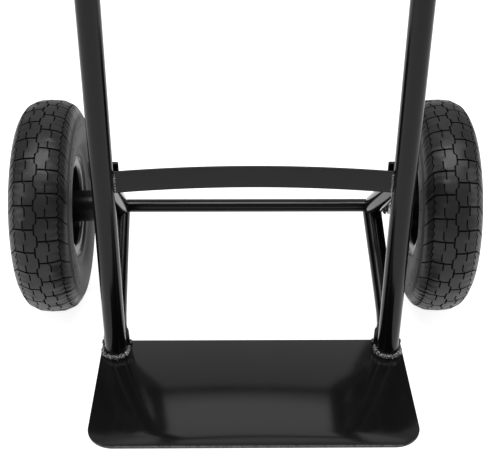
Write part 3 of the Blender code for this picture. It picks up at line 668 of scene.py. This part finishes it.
def foot_bead(side):
    """The heavy bead round the front and sides of a tube's foot."""
    sign = SIDES[side]
    low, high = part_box(side + "_tube_weld")
    radius = 0.0034
    reach = TUBE_RADIUS + radius * 0.55
    count = 96
    sweep = math.radians(226)
    centre = Vector((sign * TUBE_X, TUBE_Y, PLATE_TOP + radius * 0.62))
    path = []
    for i in range(count):
        angle = math.radians(-90) - sweep / 2 + sweep * i / (count - 1)
        wander = 0.0005 * math.sin(i * 0.9) + 0.0003 * math.sin(i * 2.3)
        spot = Vector((math.cos(angle), math.sin(angle), 0)) * (reach + wander)
        path.append(centre + spot + Vector((0, 0, wander * 0.8)))
    bm = bmesh.new()
    bar(bm, path, radius, 14, ripple(count, 0.22))
    frame_piece(side + "_foot_bead", bm, WELD_COAT, [side + "_tube_weld"], 60)


for side in SIDES:
    foot_bead(side)

# %% Small beads on the crossbars and braces
def crossbar_beads():
    bm = bmesh.new()
    radius = 0.0017
    for name in BARS:
        low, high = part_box(name + "_crossbar")
        for sign in SIDES.values():
            x = sign * ((high.x - low.x) / 2 - 0.0004)
            for face in (-1, 1):
                y = TUBE_Y + face * (BAR_THICKNESS / 2 + radius * 0.4)
                bead(bm, Vector((x, y, low.z + 0.0015)), Vector((x, y, high.z - 0.0015)), radius)
    frame_piece("crossbar_beads", bm, WELD_COAT, (), 60)


def brace_beads():
    bm = bmesh.new()
    for sign in SIDES.values():
        top, foot = brace_stations(sign)[0], brace_stations(sign)[-1]
        for face in (-1, 1):
            x = sign * TUBE_X + face * 0.0085
            y = TUBE_Y + TUBE_RADIUS - 0.0018
            bead(bm, Vector((x, y, top[2] - 0.020)), Vector((x, y, top[2] - 0.002)), 0.0018)
            x = foot[0] + face * (foot[3] / 2 + 0.0006)
            y = foot[1]
            z = PLATE_TOP + 0.0014
            bead(bm, Vector((x, y - 0.0035, z)), Vector((x, y + 0.004, z)), 0.0018)
    frame_piece("brace_beads", bm, WELD_COAT, (), 60)


def axle_bead(side):
    low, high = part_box(side + "_axle_weld")
    sign = SIDES[side]
    x = (low.x + high.x) / 2 - sign * 0.0006
    radius = 0.0019
    count = 64
    path = []
    for i in range(count + 1):
        angle = math.tau * i / count
        wander = 0.0003 * math.sin(i * 1.1)
        spot = Vector((0, math.cos(angle), math.sin(angle))) * (AXLE_RADIUS + radius * 0.7 + wander)
        path.append(Vector((x, WHEEL.y, WHEEL.z)) + spot)
    bm = bmesh.new()
    bar(bm, path, radius, 10, ripple(count * 4, 0.2))
    piece(side + "_axle_bead", bm, "frame", WELD_COAT, [side + "_axle_weld"], 60)


crossbar_beads()
brace_beads()
for side in SIDES:
    axle_bead(side)

# %% [markdown]
# ## The grips
# A grip is one moulding: a sleeve with ridges for the fingers, a collar at each end, and a bow
# that keeps the knuckles off door frames. The sleeve is turned, and the bow is a flattened bar
# that runs from one collar to the other on the outboard side.

# %% Grip
GRIP_LENGTH = 0.118
GRIP_RADIUS = 0.017
GUARD_GAP = 0.030
GUARD_RADIUS = 0.0055


def sleeve_outline():
    cap = 0.004
    bore = TUBE_RADIUS + GAP
    outline = [(0.0, GAP), (bore, GAP), (bore, -GRIP_LENGTH), (GRIP_RADIUS + 0.0024, -GRIP_LENGTH),
               (GRIP_RADIUS + 0.0030, -GRIP_LENGTH + 0.0008), (GRIP_RADIUS + 0.0030, -GRIP_LENGTH + 0.005),
               (GRIP_RADIUS, -GRIP_LENGTH + 0.0075)]
    ridges = 9
    start, end = -GRIP_LENGTH + 0.016, -0.016
    for i in range(ridges * 6 + 1):
        wave = math.sin(math.pi * i / 6) ** 2
        outline.append((GRIP_RADIUS - 0.0009 * wave, start + (end - start) * i / (ridges * 6)))
    outline += [(GRIP_RADIUS, -0.006), (GRIP_RADIUS - 0.0006, cap - 0.0035),
                (GRIP_RADIUS - 0.0022, cap - 0.0012), (GRIP_RADIUS - 0.0050, cap), (0.0, cap)]
    return outline


def grip(side):
    sign = SIDES[side]
    place = Matrix.Translation(handle_end(sign)) @ Matrix.Rotation(-HANDLE_ANGLE, 4, "X")
    bm = bmesh.new()
    turn(bm, sleeve_outline(), 48, closed=False)
    reach = GRIP_RADIUS + GUARD_GAP + GUARD_RADIUS
    low, high = -GRIP_LENGTH + 0.008, -0.008
    corners = [(GRIP_RADIUS - 0.002, low), (reach, low), (reach, high), (GRIP_RADIUS - 0.002, high)]
    line = rounded(corners, 0.024, 8)
    first, last = line[0].lerp(line[1], 0.5), line[-2].lerp(line[-1], 0.5)
    straight = [line[0], first] + line[1:-1] + [last, line[-1]]
    path = [Vector((sign * p.x, 0, p.y)) for p in straight]
    bar(bm, path, GUARD_RADIUS, 20)
    bmesh.ops.transform(bm, matrix=place, verts=bm.verts)
    frame_piece(side + "_hand_grip", bm, GRIP_PLASTIC, [side + "_grip"], 40)


for side in SIDES:
    grip(side)

# %% [markdown]
# ## The tyre's section
# The tyre is a boxy ring: its section is a superellipse, the curve between an ellipse and a
# rectangle. Points on it are taken by distance from the middle of the tread, because tread
# columns are cut by width along the rubber, and not by angle.

# %% Section of the tyre
FLANGE_RADIUS = 0.0618
RIM_RADIUS = 0.0505
RIM_HALF_WIDTH = 0.0248
SQUARENESS = 2.5
TREAD_RUBBER = 0.0085
SIDEWALL = 0.0045
SECTION_MIDDLE = (TYRE_RADIUS + FLANGE_RADIUS) / 2
SECTION_DEPTH = (TYRE_RADIUS - FLANGE_RADIUS) / 2


def on_section(angle, half_width, half_depth):
    power = 2 / SQUARENESS
    c, s = math.cos(angle), math.sin(angle)
    return Vector((SECTION_MIDDLE + math.copysign(abs(s) ** power, s) * half_depth,
                   math.copysign(abs(c) ** power, c) * half_width))


def walk_of_section():
    """(distance from the crown, radius, height) along the outside, down to the rim's lip."""
    angles = [math.radians(90 - 0.1 * i) for i in range(1281)]
    walk = [(0.0, Vector((TYRE_RADIUS, 0.0)))]
    for angle in angles[1:]:
        spot = on_section(angle, HALF_WIDTH, SECTION_DEPTH)
        walk.append((walk[-1][0] + (spot - walk[-1][1]).length, spot))
    return walk


WALK = walk_of_section()


def at_distance(distance):
    for (d0, p0), (d1, p1) in zip(WALK, WALK[1:]):
        if d1 >= distance:
            return p0.lerp(p1, (distance - d0) / (d1 - d0))
    return WALK[-1][1]


def outward(spot):
    """The section's outward direction at a (radius, height) point."""
    rise = (spot.x - SECTION_MIDDLE) / SECTION_DEPTH
    side = spot.y / HALF_WIDTH
    power = SQUARENESS - 1
    return Vector((math.copysign(abs(rise) ** power, rise) / SECTION_DEPTH,
                   math.copysign(abs(side) ** power, side) / HALF_WIDTH)).normalized()


print("rubber from crown to lip:", round(WALK[-1][0] * 1000, 1), "mm")

# %% [markdown]
# ## The tread's pattern
# The pattern repeats thirty times round the tyre, and the two halves are half a pitch apart.
# Each half has an inner and an outer block with a slit between them, then a shoulder block whose
# edges slant. So the columns are lines at fixed distances from the middle, and twelve rows share
# one pitch. A rule says which cell is groove.

# %% Columns of the tread, and the rule for grooves
PITCHES = 30
ROWS = 12
COLUMNS = [0.0, 0.0010, 0.0065, 0.0120, 0.0136, 0.0195, 0.0252, 0.0266, 0.0330, 0.0400]
CENTRE, SLIT, NOTCH = 0, 3, 6
SHOULDER_START, SHOULDER_END = COLUMNS[7], COLUMNS[9]
SLANT = math.radians(5.0)
WAVE = 0.0015
NARROWING = 0.03
ZIGZAG = 0.0007
JOG = 0.0014
RIBS = 4
RIB_PITCH = 0.0017
WALL_SLOT = len(COLUMNS) + 3 * RIBS


def is_groove(column, row):
    """column counts from the middle of the tread, and row from the half's own cross groove."""
    if column == CENTRE:
        return True
    if column < len(COLUMNS) - 1 and row == 0:
        return True
    if column == SLIT:
        return row not in (5, 6)
    if column == NOTCH:
        return 1 <= row <= 10
    return column == WALL_SLOT and row == 3


def half_outline():
    """Outside of one half of the section, from the crown to the inside of the bead."""
    points = [at_distance(d) for d in COLUMNS]
    for i in range(RIBS):
        for share, lift in ((0.25, 0.0), (0.55, 0.00035), (0.85, 0.0)):
            spot = at_distance(SHOULDER_END + 0.0010 + RIB_PITCH * (i + share))
            points.append(spot + outward(spot) * (lift - 0.0006))
    start = SHOULDER_END + 0.0010 + RIB_PITCH * RIBS
    end = WALK[-1][0]
    for i in range(1, 13):
        spot = at_distance(start + (end - start) * i / 12)
        fade = min(1.0, i / 3)
        points.append(spot + outward(spot) * -0.0006 * (1 - fade))
    return points


def bead_and_lining():
    """From the rim's lip, under the bead, and back along the inside to the crown."""
    seat = RIM_RADIUS + GAP
    wall = RIM_HALF_WIDTH - GAP
    toe = wall - 0.0075
    points = [Vector(p) for p in (
        (FLANGE_RADIUS + 0.0026, RIM_HALF_WIDTH + 0.0044),
        (FLANGE_RADIUS + 0.0006, RIM_HALF_WIDTH + 0.0028),
        (FLANGE_RADIUS - 0.0022, wall), (seat + 0.0015, wall), (seat, wall - 0.0015), (seat, toe),
        (FLANGE_RADIUS + 0.0012, toe))]
    half_width, half_depth = HALF_WIDTH - SIDEWALL, SECTION_DEPTH - TREAD_RUBBER
    for degrees in (-33, -12, 5, 25, 44, 60, 74):
        points.append(on_section(math.radians(degrees), half_width, half_depth))
    return points


print(len(half_outline()) + len(bead_and_lining()), "columns on each half of the tyre")

# %% [markdown]
# ## Cutting the tread
# The whole section is spun in steps of one degree, which makes one row for each step. Three
# things then happen to the grid: its lines are pushed out of true (the middle into a wave, the
# slits to either side, the shoulders into a slant), the groove cells are extruded into the
# rubber, and the lids that the extrusion leaves over them are deleted.

# %% Tyre
def wave_at(row):
    return WAVE * max(-1.0, min(1.0, 5 * math.cos(math.tau * row / ROWS)))


def tyre_grid(bm):
    """Spins the section, and keeps each vertex's column, counted from the crown, in a layer."""
    half = half_outline() + bead_and_lining()
    other = [Vector((p.x, -p.y)) for p in reversed(half[1:])]
    column = bm.verts.layers.int.new("column")
    verts = []
    for i, point in enumerate(half + other):
        vert = bm.verts.new((point.x, 0, point.y))
        vert[column] = i if i < len(half) else i - len(half) - len(other)
        verts.append(vert)
    edges = [bm.edges.new(pair) for pair in zip(verts, verts[1:] + verts[:1])]
    bmesh.ops.spin(bm, geom=verts + edges, cent=(0, 0, 0), axis=(0, 0, 1), angle=math.tau,
                   steps=PITCHES * ROWS, use_merge=True)
    return column


def row_of(angle):
    return math.degrees(angle) % 360.0


def groove_cells(bm, column):
    cells = []
    for face in bm.faces:
        numbers = sorted(vert[column] for vert in face.verts)
        if numbers[-1] - numbers[0] != 1:
            continue
        centre = face.calc_center_median()
        row = int(row_of(math.atan2(centre.y, centre.x))) % ROWS
        number = numbers[0] if numbers[0] >= 0 else -numbers[-1]
        row = row if numbers[0] >= 0 else (row + ROWS // 2) % ROWS
        if is_groove(number, row):
            cells.append(face)
    return cells


def warp(bm, column, slant):
    """Waves the middle, offsets the slits, breaks the sipes and slants the shoulders."""
    for vert in bm.verts:
        number = abs(vert[column])
        row = row_of(math.atan2(vert.co.y, vert.co.x))
        if number <= 2:
            vert.co.z += (1.0 if number < 2 else 0.5) * wave_at(row - 0.5)
        own = round(row if vert[column] >= 0 else row + ROWS / 2) % ROWS
        turned = 0.0
        if 0 < number < len(COLUMNS):
            turned = math.radians(NARROWING * (1 + number / 6) * ((own == 0) - (own == 1)))
            if number in (SLIT, SLIT + 1):
                vert.co.z += JOG if own < 6 else -JOG
            if number in (NOTCH, NOTCH + 1):
                vert.co.z += ZIGZAG * (-1) ** (own // 2)
        share = 1.0
        if number < len(COLUMNS):
            share = max(0.0, (COLUMNS[number] - SHOULDER_START) / (SHOULDER_END - SHOULDER_START))
        vert.co.rotate(Matrix.Rotation(turned + slant * share, 3, "Z"))


def sink(bm, cells, column):
    """Extrudes the cells into the rubber, less deep on the shoulder, and marks what it sank."""
    groove = bm.verts.layers.float.new("groove")
    made = bmesh.ops.extrude_face_region(bm, geom=cells)["geom"]
    for vert in [g for g in made if isinstance(g, bmesh.types.BMVert)]:
        radius = math.hypot(vert.co.x, vert.co.y)
        way = outward(Vector((radius, vert.co.z)))
        number = abs(vert[column])
        depth = 0.0030 if number <= NOTCH else 0.0022 if number < len(COLUMNS) else 0.0008
        radial = Vector((vert.co.x, vert.co.y, 0)) / radius
        vert.co -= (radial * way.x + Vector((0, 0, way.y))) * depth
        # This mark paints the sunk points dark in the tyre's material: painted shade in the grooves.
        vert[groove] = 1.0 if number < len(COLUMNS) else 0.3
    bmesh.ops.delete(bm, geom=cells, context="FACES")


def tyre(side):
    bm = bmesh.new()
    column = tyre_grid(bm)
    cells = groove_cells(bm, column)
    warp(bm, column, SIDES[side] * SLANT)
    sink(bm, cells, column)
    wheel_piece(side, "treaded_tyre", bm, TYRE_RUBBER, "tyre", 38)


for side in SIDES:
    tyre(side)

# %% [markdown]
# ## The rim
# Two pressed dishes are bolted back to back with the hub's plate between them. A dish is one sheet,
# so an open profile is spun and then given its thickness. Raised pads between the bolts stiffen
# the sheet: they are a smooth bump in the web, made by moving the spun vertices.

# %% Rim halves
SHEET = 0.0020
HUB_PLATE = 0.0030
BOLTS = 4
BOLT_CIRCLE = 0.032
BOLT_TURN = math.pi / 20
HUB_RADIUS = 0.01925


def rim_profile():
    web = HUB_PLATE / 2 + GAP
    corners = [(HUB_RADIUS + GAP, web), (RIM_RADIUS - 0.0065, web), (RIM_RADIUS, web + 0.0060),
               (RIM_RADIUS, RIM_HALF_WIDTH), (FLANGE_RADIUS - 0.0020, RIM_HALF_WIDTH),
               (FLANGE_RADIUS, RIM_HALF_WIDTH + 0.0030)]
    line = rounded(corners, 0.0022, 4)
    inner, outer = line[0], line[1]
    return [inner.lerp(outer, i / 10) for i in range(10)] + line[1:]


def rim_half(side, node, face):
    bm = bmesh.new()
    turn(bm, [(p.x, face * p.y) for p in rim_profile()], 96, closed=False)
    bmesh.ops.remove_doubles(bm, verts=bm.verts, dist=1e-6)
    for vert in bm.verts:
        radius = math.hypot(vert.co.x, vert.co.y)
        angle = math.atan2(vert.co.y, vert.co.x)
        between = max(0.0, -math.cos(BOLTS * (angle - BOLT_TURN)))
        band = max(0.0, 1 - abs(radius - BOLT_CIRCLE) / 0.0085)
        vert.co.z += face * 0.0016 * math.sin(math.pi / 2 * band) ** 2 * min(1.0, 1.6 * between)
    bmesh.ops.recalc_face_normals(bm, faces=bm.faces)
    web = min(bm.faces, key=lambda f: f.calc_center_median().xy.length)
    if web.normal.z * face < 0:
        bmesh.ops.reverse_faces(bm, faces=bm.faces)
    bmesh.ops.solidify(bm, geom=bm.faces[:], thickness=-SHEET)
    wheel_piece(side, node + "_dish", bm, RIM_COAT, node)


for side in SIDES:
    rim_half(side, "rim_outer_half", 1)
    rim_half(side, "rim_inner_half", -1)

# %% [markdown]
# ## Hub, bearings and bolts
# The hub is a tube, longer towards the frame, with a round plate welded on it. A sealed bearing
# sits flush in each end. All of these are turned profiles in the wheel's own frame, with +Z
# outboard, so one profile serves both sides.

# %% Hub
HUB_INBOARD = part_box("right_hub")[0].x - WHEEL.x
HUB_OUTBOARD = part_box("right_hub")[1].x - WHEEL.x
BEARING_RADIUS = 0.0175
BEARING_WIDTH = 0.011


def hub(side):
    seat = BEARING_RADIUS + GAP
    bore = BEARING_RADIUS - 0.0012
    pocket = BEARING_WIDTH + GAP
    plate = RIM_RADIUS - 0.006
    half = HUB_PLATE / 2
    chamfer = 0.0005
    outline = [
        (seat, HUB_INBOARD), (HUB_RADIUS - chamfer, HUB_INBOARD), (HUB_RADIUS, HUB_INBOARD + chamfer),
        (HUB_RADIUS, -half), (plate, -half), (plate, half), (HUB_RADIUS, half),
        (HUB_RADIUS, HUB_OUTBOARD - chamfer), (HUB_RADIUS - chamfer, HUB_OUTBOARD), (seat, HUB_OUTBOARD),
        (seat, HUB_OUTBOARD - pocket), (bore, HUB_OUTBOARD - pocket), (bore, HUB_INBOARD + pocket),
        (seat, HUB_INBOARD + pocket)]
    bm = bmesh.new()
    turn(bm, outline, 64)
    wheel_piece(side, "hub_tube", bm, RIM_COAT, "hub")


def hub_bead(side, face):
    """The bead between the hub's tube and a dish."""
    z = face * (HUB_PLATE / 2 + GAP + SHEET + 0.0010)
    count = 72
    path = []
    for i in range(count + 1):
        angle = math.tau * i / count
        spot = Vector((math.cos(angle), math.sin(angle), 0)) * (HUB_RADIUS + 0.0010)
        path.append(spot + Vector((0, 0, z + 0.0002 * math.sin(i * 0.8))))
    bm = bmesh.new()
    bar(bm, path, 0.0016, 10, ripple(count * 4, 0.18))
    name = "hub_bead_outboard" if face > 0 else "hub_bead_inboard"
    wheel_piece(side, name, bm, WELD_COAT, angle=60)


for side in SIDES:
    hub(side)
    hub_bead(side, 1)
    hub_bead(side, -1)

# %% Bearings
def bearing(side, place, low, seal_low):
    ring_width = 0.0022
    inner = AXLE_RADIUS + GAP
    track = BEARING_RADIUS - ring_width
    high = low + BEARING_WIDTH
    chamfer = 0.0004
    rings = (("outer_ring", track, BEARING_RADIUS, side + "_wheel"),
             ("inner_ring", inner, inner + ring_width, "frame"))
    for name, small, large, body in rings:
        bm = bmesh.new()
        outline = [(small + chamfer, low), (large - chamfer, low), (large, low + chamfer),
                   (large, high - chamfer), (large - chamfer, high), (small + chamfer, high),
                   (small, high - chamfer), (small, low + chamfer)]
        turn(bm, outline, 64, place=wheel_place(side))
        node = side + "_" + place + "_bearing_" + name
        piece(node + "_ground", bm, body, BEARING_STEEL, [node])
    node = place + "_bearing_seal"
    small, large = inner + ring_width + GAP, track - GAP
    face = seal_low if place == "inboard" else seal_low + 0.001
    back = seal_low + 0.001 if place == "inboard" else seal_low
    dip = face + (back - face) * 0.35
    outline = [(small, face), (small + 0.0008, face), (small + 0.0012, dip), (large - 0.0012, dip),
               (large - 0.0008, face), (large, face), (large, back), (small, back)]
    bm = bmesh.new()
    turn(bm, outline, 64)
    wheel_piece(side, node + "_lip", bm, SEAL_RUBBER, node)


for side in SIDES:
    bearing(side, "inboard", HUB_INBOARD, HUB_INBOARD)
    bearing(side, "outboard", HUB_OUTBOARD - BEARING_WIDTH, HUB_OUTBOARD - 0.001)

# %% [markdown]
# A bolt is a six-sided prism with its top corners turned off, on a round shank. The nuts behind
# are welded to the inner dish.

# %% Bolts and nuts
HEX_RADIUS = 0.0074
BOLT_RADIUS = 0.0040
WEB_FACE = HUB_PLATE / 2 + GAP + SHEET


def hexagon(bm, spot, low, high, faces_up):
    place = Matrix.Translation((*spot, (low + high) / 2))
    made = bmesh.ops.create_cone(bm, cap_ends=True, segments=6, radius1=HEX_RADIUS, radius2=HEX_RADIUS,
                                 depth=high - low, matrix=place)["verts"]
    level = high if faces_up else low
    edges = {e for v in made for e in v.link_edges}
    top = [e for e in edges if all(abs(w.co.z - level) < 1e-5 for w in e.verts)]
    bmesh.ops.bevel(bm, geom=top, offset=0.0008, segments=2, profile=0.5, affect="EDGES", material=-1)


def bolt_spots():
    angles = [BOLT_TURN + math.tau * i / BOLTS for i in range(BOLTS)]
    return [(BOLT_CIRCLE * math.cos(a), BOLT_CIRCLE * math.sin(a)) for a in angles]


def bolts(side):
    for i, spot in enumerate(bolt_spots()):
        bm = bmesh.new()
        bottom = WEB_FACE + GAP
        hexagon(bm, spot, bottom, bottom + 0.0050, True)
        low = -WEB_FACE - 0.0070
        shank = Matrix.Translation((*spot, (low + bottom + 0.001) / 2))
        bmesh.ops.create_cone(bm, cap_ends=True, segments=24, radius1=BOLT_RADIUS, radius2=BOLT_RADIUS,
                              depth=bottom + 0.001 - low, matrix=shank)
        node = "rim_bolt_" + str(i + 1)
        wheel_piece(side, node + "_hex", bm, ZINC, node)
    bm = bmesh.new()
    for spot in bolt_spots():
        hexagon(bm, spot, -WEB_FACE - 0.0060, -WEB_FACE, False)
    wheel_piece(side, "weld_nuts", bm, RIM_COAT)


for side in SIDES:
    bolts(side)

# %% [markdown]
# ## The valve
# A bent brass stem comes out of the rim's well and turns outboard between two bolts, where a pump
# can reach it. Its cap is a small knurled cup, so the cup's radius follows a cosine round its axis.

# %% Valve stem and cap
VALVE_RADIUS = 0.0022


def valve(side):
    z = RIM_HALF_WIDTH / 2
    bottom = RIM_RADIUS - 0.0085
    tip = HALF_WIDTH - 0.008
    line = rounded([(FLANGE_RADIUS, z), (bottom, z), (bottom, tip)], 0.006, 8)
    around = Matrix.Rotation(math.pi / BOLTS + BOLT_TURN, 4, "Z")
    bm = bmesh.new()
    bar(bm, [Vector((p.x, 0, p.y)) for p in line], VALVE_RADIUS, 20)
    wheel_piece(side, "valve_tube", bm, BRASS, "valve_stem", place=around)
    bm = bmesh.new()
    outer = VALVE_RADIUS + 0.0014
    outline = [(0.0, tip + GAP), (VALVE_RADIUS + GAP, tip + GAP), (VALVE_RADIUS + GAP, tip - 0.006),
               (outer, tip - 0.006), (outer, tip + 0.0014), (outer - 0.0008, tip + 0.0024),
               (0.0, tip + 0.0024)]
    turn(bm, outline, 72, closed=False)
    for vert in bm.verts:
        if math.hypot(vert.co.x, vert.co.y) > outer - 0.0002:
            ridge = 1 + 0.04 * math.cos(18 * math.atan2(vert.co.y, vert.co.x))
            vert.co.x *= ridge / 1.04
            vert.co.y *= ridge / 1.04
    up = around @ Matrix.Translation((bottom, 0, 0))
    wheel_piece(side, "valve_cup", bm, GRIP_PLASTIC, "valve_cap", place=up)


for side in SIDES:
    valve(side)

# %% [markdown]
# ## What stays from the frame
# The inner tubes and the bearings' balls are closed in and keep the frame's own shapes. They only
# need a finish, for the day that someone takes a wheel apart.

# %% Finishes for the closed-in parts
HIDDEN = {"_inner_tube": TUBE_RUBBER, "_inboard_bearing_balls": BEARING_STEEL,
          "_outboard_bearing_balls": BEARING_STEEL}
for side in SIDES:
    for ending, finish in HIDDEN.items():
        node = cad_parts[side + ending]
        node.data.materials.clear()
        node.data.materials.append(finish.material)
print(len(HIDDEN) * len(SIDES), "closed-in parts finished")

# %% [markdown]
# ## Floor, light and camera
# Black paint shows only what it reflects, so the light matters more than the paint. The room is
# bright all round, as in a white cove. A large soft panel overhead and one at each side draw the
# long highlights, and one at the back gives the plate something pale to mirror. The floor is
# plain and pale, and glows a little, so that no shadow falls on it.

# %% Floor and world
def stage():
    bm = bmesh.new()
    bmesh.ops.create_grid(bm, x_segments=1, y_segments=1, size=9.0)
    mesh = bpy.data.meshes.new("floor")
    bm.to_mesh(mesh)
    bm.free()
    floor = bpy.data.objects.new("floor", mesh)
    floor.location.z = -0.0002
    bpy.context.scene.collection.objects.link(floor)
    pale = Finish("floor_paper", Base_Color=(0.4, 0.4, 0.4, 1.0), Roughness=0.9,
                  Emission_Color=(1.0, 1.0, 1.0, 1.0), Emission_Strength=0.86)
    pale.shader.inputs["Specular IOR Level"].default_value = 0.1
    mesh.materials.append(pale.material)
    world = bpy.data.worlds.new("white_room")
    world.use_nodes = True
    world.node_tree.nodes["Background"].inputs["Color"].default_value = (1.0, 1.0, 1.0, 1.0)
    world.node_tree.nodes["Background"].inputs["Strength"].default_value = 0.45
    bpy.context.scene.world = world
    bpy.context.scene.view_settings.view_transform = "Standard"


def panel(name, spot, target, size, power):
    light = bpy.data.lights.new(name, "AREA")
    light.shape = "RECTANGLE"
    light.size, light.size_y = size
    light.energy = power
    lamp = bpy.data.objects.new(name, light)
    lamp.location = spot
    lamp.rotation_euler = (Vector(target) - Vector(spot)).to_track_quat("-Z", "Y").to_euler()
    bpy.context.scene.collection.objects.link(lamp)


stage()
panel("overhead_panel", (0.0, -0.5, 3.0), (0, 0, 0.2), (2.4, 1.4), 95)
panel("back_panel", (0.0, 3.0, 3.7), (0, 0, 0.1), (3.4, 2.4), 16)
panel("left_panel", (-2.2, -1.2, 1.4), (0, 0, 0.3), (0.8, 2.0), 24)
panel("right_panel", (2.2, -0.6, 1.2), (0, 0, 0.3), (0.6, 1.8), 14)
print("floor, world and four panels")

# %% [markdown]
# The camera stands in front at waist height and looks down by about thirty-two degrees, so the
# plate is seen from above and the upper half of the truck is outside the view.

# %% Camera
def camera():
    eye = bpy.data.cameras.new("camera")
    eye.sensor_width = 36.0
    eye.lens = 71.96
    seat = bpy.data.objects.new("camera", eye)
    look_down, yaw, roll = math.radians(31.78), math.radians(-0.786), math.radians(0.307)
    turned = (Matrix.Rotation(yaw, 4, "Z") @ Matrix.Rotation(math.pi / 2 - look_down, 4, "X")
              @ Matrix.Rotation(roll, 4, "Z"))
    seat.matrix_world = Matrix.Translation((FRAME_X - 0.0206, TUBE_Y - 0.9216, 0.7477)) @ turned
    bpy.context.scene.collection.objects.link(seat)
    bpy.context.scene.camera = seat


camera()
print("camera at", tuple(round(v, 3) for v in bpy.context.scene.camera.location))
